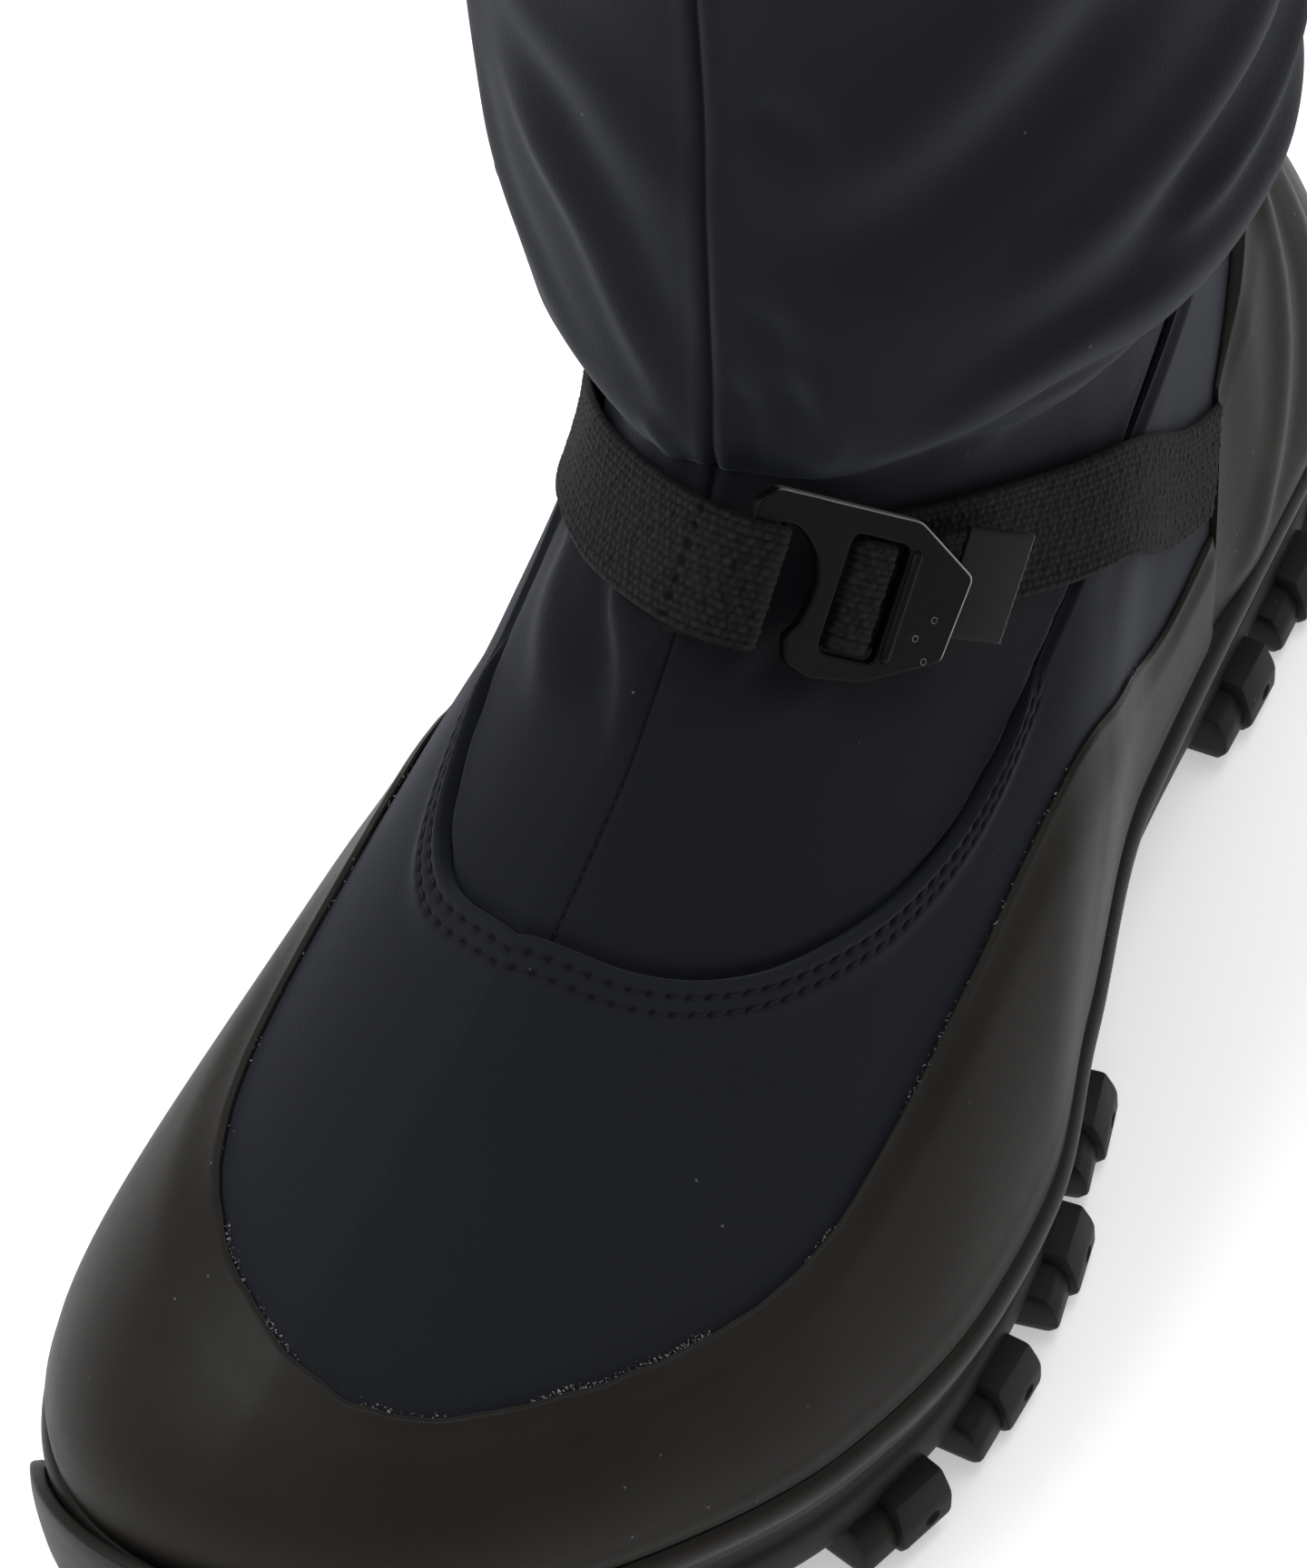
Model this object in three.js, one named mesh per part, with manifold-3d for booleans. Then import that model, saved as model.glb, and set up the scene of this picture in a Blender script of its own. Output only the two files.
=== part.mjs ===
// Left winter boot: lugged rubber sole, rounded midsole, padded foot upper with a rubber rand and heel
// counter, gathered gaiter shaft, and a webbing ankle strap with a flat hook buckle.
// Millimetres. The toe looks towards -Y, the lateral side lies at +X and the floor is at Z 0.
import * as THREE from "three";
import Module from "manifold-3d";

// Main sizes of the last and the boot.
const lastLength = 284;
const ballWidth = 108;
const bootHeight = 284;
const instepHeight = 100;
const wall = 1.8;
const gap = 0.3;

// Sole sizes.
const lugHeight = 7;
const midsoleHeight = 9;
const beadReach = 3.4;
const outsoleReach = 1.6;
const lugPitch = 27;
const lugLength = 17;
const lugDepth = 19;
const lugReach = 4.6;
const toeWrapHeight = 4;
const toeWrapThickness = 1.9;
const toeWrapSpread = 0.08;
const insoleHeight = 4;

// Overlays on the upper.
const randThickness = 1.8;
const counterThickness = 2.6;
const counterSpread = 0.17;
const ridgeCount = 4;
const ridgeHeight = 1.1;
const throatEdgeHeight = 1.3;
const throatEdgeWidth = 4.2;
const shaftWall = 1.6;
const shaftTuck = 8;
const hemWidth = 14;
const hemHeight = 1.0;

// Strap and buckle.
const strapWidth = 17.5;
const webbing = 1.4;
const plateWidth = 36;
const plateHeight = 24;
const plateThickness = 2;
const plateTurn = -0.22;
const plateDrop = 3.1;
const slotWidth = 9.4;
const slotHeight = 16.8;
const tabWidth = 8.6;
const tabHeight = 15.5;
const tabThickness = 1.8;

const around = 56;

// The feather line, where the upper meets the sole, a row for each station from heel to toe.
// at: share of the last's length. axis, lateral, medial: shares of the ball width.
// rise: height of the line and lift: height of the tread, shares of the instep height.
const featherTable = [
  { at: 0.0, axis: -0.02, lateral: 0.355, medial: 0.355, rise: 0.315, lift: 0.02 },
  { at: 0.07, axis: -0.02, lateral: 0.355, medial: 0.355, rise: 0.31, lift: 0.0 },
  { at: 0.2, axis: -0.02, lateral: 0.358, medial: 0.348, rise: 0.305, lift: 0.0 },
  { at: 0.37, axis: -0.02, lateral: 0.372, medial: 0.295, rise: 0.3, lift: 0.035 },
  { at: 0.52, axis: -0.015, lateral: 0.45, medial: 0.32, rise: 0.3, lift: 0.0 },
  { at: 0.62, axis: 0.0, lateral: 0.495, medial: 0.405, rise: 0.3, lift: 0.0 },
  { at: 0.7, axis: -0.01, lateral: 0.505, medial: 0.465, rise: 0.31, lift: 0.0 },
  { at: 0.8, axis: -0.045, lateral: 0.5, medial: 0.495, rise: 0.335, lift: 0.02 },
  { at: 0.9, axis: -0.11, lateral: 0.5, medial: 0.5, rise: 0.38, lift: 0.075 },
  { at: 1.0, axis: -0.17, lateral: 0.5, medial: 0.5, rise: 0.43, lift: 0.15 },
];
const heelRound = { reach: 0.15, power: 2.3 };
const toeRound = { reach: 0.3, power: 2.2 };

// How the wall leaves the feather line (out, up) and reaches the ankle (ankleOut, fore, drop), a row for
// each station from the heel round to the toe. at: share of the half turn. The rest: shares of the instep height.
const wallTable = [
  { at: 0.0, out: 0.05, up: 0.34, ankleOut: 0.02, fore: 0.0, drop: 0.36 },
  { at: 0.25, out: 0.03, up: 0.3, ankleOut: 0.02, fore: 0.0, drop: 0.36 },
  { at: 0.5, out: 0.02, up: 0.26, ankleOut: 0.0, fore: -0.04, drop: 0.36 },
  { at: 0.66, out: -0.02, up: 0.24, ankleOut: -0.06, fore: -0.05, drop: 0.36 },
  { at: 0.8, out: 0.02, up: 0.27, ankleOut: -0.06, fore: -0.2, drop: 0.4 },
  { at: 1.0, out: 0.06, up: 0.34, ankleOut: 0.0, fore: -0.42, drop: 0.46 },
];

// Rings of the shaft from the ankle pinch to the collar. front, side, back: heights as shares of the boot's
// height. centre, depth: shares of the last's length. half: share of the ball width.
const ringTable = [
  { at: 0.0, front: 0.462, side: 0.405, back: 0.41, centre: 0.194, half: 0.338, depth: 0.219 },
  { at: 0.1, front: 0.505, side: 0.46, back: 0.462, centre: 0.196, half: 0.445, depth: 0.226 },
  { at: 0.28, front: 0.59, side: 0.565, back: 0.56, centre: 0.2, half: 0.495, depth: 0.226 },
  { at: 0.6, front: 0.76, side: 0.748, back: 0.742, centre: 0.212, half: 0.51, depth: 0.219 },
  { at: 1.0, front: 1.0, side: 1.0, back: 1.0, centre: 0.216, half: 0.537, depth: 0.222 },
];

// Lines on the form. u: share of the turn, 0 heel, 0.25 lateral, 0.5 toe, 0.75 medial. w: 0 feather, 1 ankle.
const topLine = [
  { u: 0.0, w: 0.9 },
  { u: 0.12, w: 0.87 },
  { u: 0.218, w: 0.82 },
  { u: 0.256, w: 0.79 },
  { u: 0.288, w: 0.71 },
  { u: 0.304, w: 0.665 },
  { u: 0.322, w: 0.62 },
  { u: 0.34, w: 0.59 },
  { u: 0.36, w: 0.575 },
  { u: 0.4, w: 0.57 },
  { u: 0.442, w: 0.59 },
  { u: 0.464, w: 0.62 },
  { u: 0.486, w: 0.65 },
  { u: 0.53, w: 0.65 },
  { u: 0.579, w: 0.66 },
  { u: 0.597, w: 0.68 },
  { u: 0.615, w: 0.72 },
  { u: 0.635, w: 0.78 },
  { u: 0.655, w: 0.84 },
  { u: 0.7, w: 0.875 },
  { u: 0.85, w: 0.885 },
  { u: 1.0, w: 0.9 },
];
const randLine = [
  { u: 0.174, w: 0.24 },
  { u: 0.2, w: 0.25 },
  { u: 0.226, w: 0.37 },
  { u: 0.254, w: 0.47 },
  { u: 0.28, w: 0.525 },
  { u: 0.294, w: 0.51 },
  { u: 0.31, w: 0.46 },
  { u: 0.325, w: 0.42 },
  { u: 0.347, w: 0.34 },
  { u: 0.365, w: 0.28 },
  { u: 0.386, w: 0.265 },
  { u: 0.42, w: 0.26 },
  { u: 0.454, w: 0.26 },
  { u: 0.475, w: 0.27 },
  { u: 0.489, w: 0.29 },
  { u: 0.503, w: 0.325 },
  { u: 0.529, w: 0.35 },
  { u: 0.569, w: 0.39 },
  { u: 0.594, w: 0.44 },
  { u: 0.612, w: 0.51 },
  { u: 0.64, w: 0.54 },
  { u: 0.7, w: 0.5 },
  { u: 0.76, w: 0.38 },
  { u: 0.8, w: 0.27 },
  { u: 0.826, w: 0.24 },
];
const counterLine = [
  { u: -0.18, w: 0.5 },
  { u: -0.153, w: 0.64 },
  { u: -0.12, w: 0.72 },
  { u: -0.06, w: 0.8 },
  { u: 0.0, w: 0.84 },
  { u: 0.06, w: 0.8 },
  { u: 0.12, w: 0.72 },
  { u: 0.153, w: 0.64 },
  { u: 0.18, w: 0.5 },
];
const strapLine = [
  { u: 0.17, w: 0.385 },
  { u: 0.2, w: 0.51 },
  { u: 0.225, w: 0.62 },
  { u: 0.25, w: 0.72 },
  { u: 0.29, w: 0.79 },
  { u: 0.314, w: 0.82 },
  { u: 0.344, w: 0.85 },
  { u: 0.385, w: 0.88 },
  { u: 0.449, w: 0.905 },
  { u: 0.475, w: 0.918 },
  { u: 0.51, w: 0.925 },
  { u: 0.55, w: 0.925 },
  { u: 0.6, w: 0.915 },
  { u: 0.65, w: 0.87 },
  { u: 0.7, w: 0.79 },
  { u: 0.75, w: 0.7 },
  { u: 0.775, w: 0.62 },
  { u: 0.8, w: 0.51 },
  { u: 0.83, w: 0.385 },
];

// Monotone cubic through one named column of a table, flat beyond its ends.
function column(table, key, x, along = "at") {
  const last = table.length - 1;
  if (x <= table[0][along]) return table[0][key];
  if (x >= table[last][along]) return table[last][key];
  let i = 0;
  while (x > table[i + 1][along]) i += 1;
  const slope = (k) => (table[k + 1][key] - table[k][key]) / (table[k + 1][along] - table[k][along]);
  const tangent = (k) => {
    if (k === 0) return slope(0);
    if (k === last) return slope(last - 1);
    const a = slope(k - 1);
    const b = slope(k);
    return a * b <= 0 ? 0 : (2 * a * b) / (a + b);
  };
  const h = table[i + 1][along] - table[i][along];
  const t = (x - table[i][along]) / h;
  const t2 = t * t;
  const t3 = t2 * t;
  return (
    (2 * t3 - 3 * t2 + 1) * table[i][key] +
    (t3 - 2 * t2 + t) * h * tangent(i) +
    (3 * t2 - 2 * t3) * table[i + 1][key] +
    (t3 - t2) * h * tangent(i + 1)
  );
}

// Full width in the middle, closing to nothing over a round end.
function closing(distance, round) {
  const k = Math.min(1, Math.max(0, distance / round.reach));
  return Math.pow(1 - Math.pow(1 - k, round.power), 1 / round.power);
}

const turn = (u) => 2 * Math.PI * u;
const shareAt = (u) => (1 - Math.cos(turn(u))) / 2;
const shareOfY = (y) => Math.min(1, Math.max(0, 0.5 - y / lastLength));
const featherHeight = (share) => instepHeight * column(featherTable, "rise", share);
const treadLift = (share) => instepHeight * column(featherTable, "lift", share);

// Point of the feather line.
function feather(u) {
  const share = shareAt(u);
  const lateral = Math.sin(turn(u)) >= 0;
  const half = lateral ? column(featherTable, "lateral", share) : -column(featherTable, "medial", share);
  const close = closing(share, heelRound) * closing(1 - share, toeRound);
  return new THREE.Vector3(
    ballWidth * (column(featherTable, "axis", share) + half * close),
    lastLength * (0.5 - share),
    featherHeight(share),
  );
}

// Direction in plan that leaves the feather line at a right angle.
function outward(u) {
  const step = 1e-3;
  const along = feather(u + step).sub(feather(u - step));
  return new THREE.Vector3(-along.y, along.x, 0).normalize();
}

// Outline of the sole, grown from the feather line.
function soleEdge(u, grow) {
  return feather(u).addScaledVector(outward(u), grow);
}

// Point of a shaft ring.
function ringPoint(u, at) {
  const c = Math.cos(turn(u));
  const side = column(ringTable, "side", at);
  const end = c > 0 ? column(ringTable, "back", at) : column(ringTable, "front", at);
  return new THREE.Vector3(
    ballWidth * column(ringTable, "half", at) * Math.sin(turn(u)),
    lastLength * (column(ringTable, "centre", at) + column(ringTable, "depth", at) * c),
    bootHeight * (side + (end - side) * c * c),
  );
}

// The boot's form: w 0 to 1 is the foot from feather line to ankle, w 1 to 2 the shaft up to the collar.
function form(u, w) {
  if (w > 1) return ringPoint(u, w - 1);
  const half = 1 - 2 * Math.abs(u - Math.floor(u) - 0.5);
  const bend = (key) => instepHeight * column(wallTable, key, half);
  const start = feather(u);
  const end = ringPoint(u, 0);
  const leave = start.clone().addScaledVector(outward(u), bend("out"));
  leave.z += bend("up");
  const reach = end.clone();
  reach.x += bend("ankleOut") * Math.sin(turn(u));
  reach.y += bend("fore") + bend("ankleOut") * Math.cos(turn(u));
  reach.z -= bend("drop");
  const r = 1 - w;
  return new THREE.Vector3()
    .addScaledVector(start, r * r * r)
    .addScaledVector(leave, 3 * r * r * w)
    .addScaledVector(reach, 3 * r * w * w)
    .addScaledVector(end, w * w * w);
}

// Derivatives of the form around and up, and its outward normal.
function frameAt(u, w) {
  const step = 4e-3;
  const low = Math.max(0, w - step);
  const high = Math.min(2, w + step);
  const alongU = form(u + step, w).sub(form(u - step, w)).divideScalar(2 * step);
  const alongW = form(u, high).sub(form(u, low)).divideScalar(high - low);
  const normal = new THREE.Vector3().crossVectors(alongW, alongU).normalize();
  return { alongU, alongW, normal };
}

// The form moved out along its normal.
function shell(u, w, offset) {
  return form(u, w).addScaledVector(frameAt(u, w).normal, offset);
}

// The same, kept above the sole's top.
function standing(u, w, offset) {
  const p = shell(u, w, offset);
  p.z = Math.max(p.z, featherHeight(shareOfY(p.y)));
  return p;
}

// A distance in mm up the form as a change of w.
const upBy = (u, w, distance) => distance / frameAt(u, w).alongW.length();

const wasm = await Module();
wasm.setup();
const { Manifold, Mesh } = wasm;

// Closed mesh from points and triangles, turned so that it faces out.
function geometryOf(points, triangles) {
  let volume = 0;
  for (const [a, b, c] of triangles) {
    volume += points[a].dot(new THREE.Vector3().crossVectors(points[b], points[c]));
  }
  const order = volume < 0 ? triangles.map(([a, b, c]) => [a, c, b]) : triangles;
  const geometry = new THREE.BufferGeometry();
  geometry.setAttribute("position", new THREE.Float32BufferAttribute(points.flatMap((p) => p.toArray()), 3));
  geometry.setIndex(order.flat());
  geometry.computeVertexNormals();
  return geometry;
}

// Sections, each a strip with its outer points first and its inner points back again, joined in turn.
function loft(sections, wrap) {
  const size = sections[0].length;
  const points = sections.flat();
  const triangles = [];
  const count = wrap ? sections.length : sections.length - 1;
  for (let i = 0; i < count; i += 1) {
    const a = i * size;
    const b = ((i + 1) % sections.length) * size;
    for (let j = 0; j < size; j += 1) {
      const k = (j + 1) % size;
      triangles.push([a + j, b + j, b + k], [a + j, b + k, a + k]);
    }
  }
  if (!wrap) {
    for (const [base, flip] of [[0, false], [(sections.length - 1) * size, true]]) {
      for (let j = 0; j + 1 < size / 2; j += 1) {
        const quad = [base + j, base + j + 1, base + size - 2 - j, base + size - 1 - j];
        const [a, b, c, d] = flip ? quad.slice().reverse() : quad;
        triangles.push([a, b, c], [a, c, d]);
      }
    }
  }
  return geometryOf(points, triangles);
}

// Levels of a solid slab, each a ring around the sole, closed straight across at the bottom and the top.
function stack(levels) {
  const size = levels[0].length;
  const points = levels.flat();
  const triangles = [];
  for (let i = 0; i + 1 < levels.length; i += 1) {
    for (let j = 0; j < size; j += 1) {
      const k = (j + 1) % size;
      triangles.push([i * size + j, (i + 1) * size + j, (i + 1) * size + k]);
      triangles.push([i * size + j, (i + 1) * size + k, i * size + k]);
    }
  }
  for (const [base, flip] of [[0, true], [(levels.length - 1) * size, false]]) {
    for (let j = 0; j < size / 2; j += 1) {
      const far = (size - j) % size;
      const quad = [base + j, base + j + 1, base + size - j - 1, base + far];
      const [a, b, c, d] = flip ? quad : quad.slice().reverse();
      if (new Set([a, b, c]).size === 3) triangles.push([a, b, c]);
      if (new Set([a, c, d]).size === 3) triangles.push([a, c, d]);
    }
  }
  return geometryOf(points, triangles);
}

function solidOf(geometry) {
  const mesh = new Mesh({
    numProp: 3,
    vertProperties: new Float32Array(geometry.attributes.position.array),
    triVerts: new Uint32Array(geometry.index.array),
  });
  return new Manifold(mesh);
}

function geometryOfSolid(solid) {
  const mesh = solid.getMesh();
  const geometry = new THREE.BufferGeometry();
  const positions = new Float32Array(mesh.numVert * 3);
  for (let i = 0; i < mesh.numVert; i += 1) {
    positions.set(mesh.vertProperties.subarray(i * mesh.numProp, i * mesh.numProp + 3), i * 3);
  }
  geometry.setAttribute("position", new THREE.BufferAttribute(positions, 3));
  geometry.setIndex(new THREE.BufferAttribute(new Uint32Array(mesh.triVerts), 1));
  geometry.computeVertexNormals();
  return geometry;
}

const turns = Array.from({ length: around }, (_, i) => i / around);
const between = (a, b, count) => Array.from({ length: count + 1 }, (_, i) => a + ((b - a) * i) / count);

// The shared turns inside a stretch, with its two ends.
function turnsBetween(from, to) {
  const inside = [];
  for (let i = Math.ceil(from * around + 0.15); i < to * around - 0.15; i += 1) inside.push(i / around);
  return [from, ...inside, to];
}

// Sole.

// A level of the sole: its ring at a height given by a function of the share.
function soleLevel(grow, heightAt) {
  return turns.map((u) => {
    const p = soleEdge(u, grow);
    p.z = heightAt(shareAt(u));
    return p;
  });
}

const midsoleTop = (share) => featherHeight(share) - gap;
const midsoleBase = (share) => featherHeight(share) - midsoleHeight;
const outsoleTop = (share) => midsoleBase(share) - gap;
const outsoleBase = (share) => lugHeight + treadLift(share);

// The midsole's side from bottom to top. rise: share of its height. reach: share of the bead's reach.
const beadProfile = [
  { rise: 0.0, reach: 0.35 },
  { rise: 0.3, reach: 0.4 },
  { rise: 0.42, reach: 0.75 },
  { rise: 0.62, reach: 1.0 },
  { rise: 0.84, reach: 0.98 },
  { rise: 1.0, reach: 0.66 },
];
const midsole = stack(
  beadProfile.map(({ rise, reach }) =>
    soleLevel(beadReach * reach, (s) => midsoleBase(s) + (midsoleTop(s) - midsoleBase(s)) * rise),
  ),
);

// The outsole's side: a bevel from the tread, a wide rib and a step under the midsole.
const sideProfile = [
  { rise: 0.0, reach: 0.1 },
  { rise: 0.14, reach: 1.0 },
  { rise: 0.5, reach: 1.15 },
  { rise: 0.6, reach: 0.45 },
  { rise: 0.78, reach: 0.5 },
  { rise: 0.86, reach: 0.95 },
  { rise: 1.0, reach: 0.9 },
];
const outsoleSlab = stack(
  sideProfile.map(({ rise, reach }) =>
    soleLevel(outsoleReach * reach, (s) => outsoleBase(s) + (outsoleTop(s) - outsoleBase(s)) * rise),
  ),
);

// A point beside the sole's edge, with its height counted from the tread.
function beside(u, out, along, height) {
  const normal = outward(u);
  const p = feather(u).addScaledVector(normal, out);
  p.x += normal.y * along;
  p.y -= normal.x * along;
  p.z = treadLift(shareOfY(p.y)) + height;
  return p.toArray();
}

// A bevelled lug that pokes out past the sole's edge.
function edgeLug(u, length, depth) {
  const points = [];
  for (const s of [-1, 1]) {
    points.push(beside(u, lugReach - 2.2, s * (length / 2 - 2), 0));
    points.push(beside(u, lugReach - 0.4, s * (length / 2 - 0.8), lugHeight * 0.4));
    points.push(beside(u, lugReach, s * (length / 2), lugHeight * 0.9));
    points.push(beside(u, outsoleReach, s * (length / 2 - 0.5), lugHeight + 4));
    points.push(beside(u, -depth, s * (length / 2 - 3.5), 0));
    points.push(beside(u, -depth - 1.5, s * (length / 2 - 2), lugHeight + 2));
  }
  return Manifold.hull(points);
}

// A six-sided lug inside the tread.
function middleLug(share, side, length, width) {
  const y = lastLength * (0.5 - share);
  const x = ballWidth * (column(featherTable, "axis", share) + side);
  const points = [];
  for (const [height, grow] of [[0, 0], [lugHeight + 2, 1.2]]) {
    for (const [a, b] of [[-1, 0.5], [0, 1], [1, 0.5], [1, -0.5], [0, -1], [-1, -0.5]]) {
      const px = x + a * (width / 2 + grow);
      const py = y + b * (length / 2 + grow);
      points.push([px, py, treadLift(shareOfY(py)) + height]);
    }
  }
  return Manifold.hull(points);
}

// u of a share on the lateral side.
const lateralTurn = (share) => Math.acos(1 - 2 * share) / (2 * Math.PI);

// Rows of lugs. from: share of the first one, count: how many, side: lateral 1 or medial -1.
const lugRows = [
  { from: 0.53, count: 4, side: 1 },
  { from: 0.545, count: 4, side: -1 },
  { from: 0.13, count: 3, side: 1 },
  { from: 0.13, count: 3, side: -1 },
];
const lugs = [];
for (const { from, count, side } of lugRows) {
  for (let k = 0; k < count; k += 1) {
    const share = from + (k * lugPitch * (from < 0.4 ? 0.82 : 1)) / lastLength;
    const u = side > 0 ? lateralTurn(share) : 1 - lateralTurn(share);
    lugs.push(edgeLug(u, lugLength, lugDepth));
  }
}
for (const u of [0.425, 0.475, 0.525, 0.575]) {
  lugs.push(edgeLug(u, lugLength * 0.9, lugDepth * 0.8));
}
for (const u of [-0.055, 0.055]) {
  lugs.push(edgeLug(u, lugLength, lugDepth * 0.8));
}
for (let k = 0; k < 4; k += 1) {
  for (const side of [-0.115, 0.115]) {
    const share = 0.575 + (k * lugPitch) / lastLength + (side > 0 ? 0.02 : 0);
    lugs.push(middleLug(share, side, lugLength, lugLength));
  }
}
for (let k = 0; k < 2; k += 1) {
  lugs.push(middleLug(0.155 + (k * lugPitch) / lastLength, 0, lugLength, lugLength));
}

// The lip of the outsole that wraps up over the toe.
function toeWrap() {
  const inner = beadReach + 1.5 * gap;
  const outer = inner + toeWrapThickness;
  return loft(
    turnsBetween(0.5 - toeWrapSpread, 0.5 + toeWrapSpread).map((u) => {
      const share = shareAt(u);
      const fade = Math.sin(((u - 0.5 + toeWrapSpread) / (2 * toeWrapSpread)) * Math.PI);
      const base = outsoleTop(share);
      const top = base + Math.max(0.6, (midsoleHeight + toeWrapHeight) * Math.pow(Math.max(fade, 0), 0.6));
      const at = (grow, z) => {
        const p = soleEdge(u, grow);
        p.z = z;
        return p;
      };
      return [
        at(-3, base - 8),
        at(outer - 1.2, base - 8),
        at(outer, base - 6),
        at(outer, top - 0.5),
        at(outer - 0.5, top),
        at(inner, top - 0.1),
        at(inner, base - 0.8),
        at(-3, base - 2),
      ];
    }),
    false,
  );
}
const outsole = geometryOfSolid(Manifold.union([solidOf(outsoleSlab), ...lugs, solidOf(toeWrap())]));

// The insole lies inside the upper on the midsole.
const insoleInset = wall + 2 * gap + 0.4;
const insole = stack(
  [
    { rise: 0, grow: 0 },
    { rise: 0.75, grow: 0 },
    { rise: 1, grow: -0.8 },
  ].map(({ rise, grow }) => soleLevel(grow - insoleInset, (s) => midsoleTop(s) + gap + insoleHeight * rise)),
);

// Upper: a hollow wall with a raised edge around the throat.
const topAt = (u) => column(topLine, "w", u - Math.floor(u), "u");

// The raised edge runs along the front of the throat and fades towards the sides.
function throatEdge(u) {
  const lateral = THREE.MathUtils.smoothstep(u, 0.298, 0.318);
  const medial = 1 - THREE.MathUtils.smoothstep(u, 0.6, 0.622);
  return throatEdgeHeight * lateral * medial;
}

const upperRows = between(0, 1, 14);
const liningRows = between(0, 1, 7);
const upper = loft(
  turns.map((u) => {
    const top = topAt(u);
    const edge = upBy(u, top, throatEdgeWidth);
    const lift = throatEdge(u);
    const field = top - edge;
    const outer = upperRows.map((k) => standing(u, field * k, 0));
    outer.push(shell(u, field + edge * 0.25, lift));
    outer.push(shell(u, field + edge * 0.75, lift));
    outer.push(shell(u, top, 0));
    const inner = liningRows.map((k) => standing(u, top * k, -wall));
    return outer.concat(inner.reverse());
  }),
  true,
);

// Shaft: tucked inside the upper, pinched under the strap, then full up to a hemmed collar.
const tuckDepth = wall + gap + 0.2;
const fullAt = 1.06;
function shaftOffset(u, w) {
  const k = THREE.MathUtils.smoothstep(w, 0.985, fullAt);
  return -tuckDepth * (1 - k);
}
const shaftRows = [1.025, 1.06, 1.11, 1.2, 1.34, 1.6];
const shaft = loft(
  turns.map((u) => {
    const top = topAt(u);
    const low = top - upBy(u, top, shaftTuck);
    const ws = [low, top, 0.5 * (top + 0.985), 0.985, ...shaftRows];
    const hem = 2 - upBy(u, 1.95, hemWidth);
    const outer = ws.map((w) => shell(u, w, shaftOffset(u, w)));
    outer.push(shell(u, hem, 0));
    outer.push(shell(u, hem + 0.012, hemHeight));
    outer.push(shell(u, 1.992, hemHeight));
    outer.push(shell(u, 2, 0));
    const liningPlaces = [low, top, 0.985, 1.06, 1.18, 1.5, 2];
    const inner = liningPlaces.map((w) => shell(u, w, shaftOffset(u, w) - shaftWall));
    return outer.concat(inner.reverse());
  }),
  true,
);

// An overlay on the upper between two turns, up to a line.
function overlay(from, to, rows, topOf, thickness, extra) {
  return loft(
    turnsBetween(from, to).map((u) => {
      const top = topOf(u);
      const outer = rows.map((k) => standing(u, top * k, gap + thickness + extra(u, k)));
      outer.push(shell(u, top, gap + thickness * 0.45));
      const inner = rows.map((k) => standing(u, top * k, gap));
      inner.push(shell(u, top, gap));
      return outer.concat(inner.reverse());
    }),
    false,
  );
}

const sideGap = 0.004;
const rand = overlay(
  counterSpread + sideGap,
  1 - counterSpread - sideGap,
  [0, 0.12, 0.24, 0.37, 0.51, 0.66, 0.81, 0.96],
  (u) => column(randLine, "w", u, "u"),
  randThickness,
  () => 0,
);

// Counter with upright ridges beside the heel on both sides.
function ridge(u, k) {
  const away = Math.abs(u);
  const wave = Math.max(0, Math.sin(((away - 0.06) / 0.1) * Math.PI * ridgeCount));
  const inside = away > 0.06 && away < 0.16 ? 1 : 0;
  return ridgeHeight * wave * inside * Math.sin(Math.PI * Math.min(1, k + 0.15));
}
const counter = overlay(
  -counterSpread,
  counterSpread,
  [0, 0.13, 0.25, 0.37, 0.49, 0.61, 0.74, 0.86, 0.97],
  (u) => column(counterLine, "w", u, "u"),
  counterThickness,
  ridge,
);

// Strap.

// A point on the strap's line: t is the turn, side a distance in mm across, offset a distance off the form.
function onStrap(u, side, offset) {
  const w = column(strapLine, "w", u, "u");
  const step = 2e-3;
  const before = form(u - step, column(strapLine, "w", u - step, "u"));
  const along = form(u + step, column(strapLine, "w", u + step, "u")).sub(before).normalize();
  const { alongU, alongW, normal } = frameAt(u, w);
  const across = new THREE.Vector3().crossVectors(along, normal).normalize();
  if (across.z < 0) across.negate();
  const a = alongU.dot(alongU);
  const b = alongU.dot(alongW);
  const c = alongW.dot(alongW);
  const p = across.dot(alongU) * side;
  const q = across.dot(alongW) * side;
  const d = a * c - b * b;
  const place = { u: u + (p * c - q * b) / d, w: w + (q * a - p * b) / d };
  return shell(place.u, Math.min(place.w, 1), offset);
}

const strapFrom = counterSpread + 2 * sideGap;

// A ribbon of webbing along the strap's line.
function ribbon(from, to, count, offsetAt, thickness, width) {
  const sides = between(-width / 2, width / 2, 3);
  return loft(
    between(from, to, count).map((u) => {
      const outer = sides.map((s) => onStrap(u, s, offsetAt(u) + thickness));
      const inner = sides.map((s) => onStrap(u, s, offsetAt(u)));
      return outer.concat(inner.reverse());
    }),
    false,
  );
}

// The buckle's own frame: x along the strap to the lateral side, y up across it, z away from the boot.
const plateStand = 4 * gap + 2 * webbing;
const plateSpot = { u: 0.421, w: 0.905 };
const plateNormal = frameAt(plateSpot.u, plateSpot.w).normal;
const plateOrigin = shell(plateSpot.u, plateSpot.w, plateStand);
const strapRun = onStrap(plateSpot.u - 0.02, 0, 0).sub(onStrap(plateSpot.u + 0.02, 0, 0));
const plateX = strapRun.addScaledVector(plateNormal, -strapRun.dot(plateNormal)).normalize();
plateX.applyAxisAngle(plateNormal, plateTurn);
const plateY = new THREE.Vector3().crossVectors(plateNormal, plateX);

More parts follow.
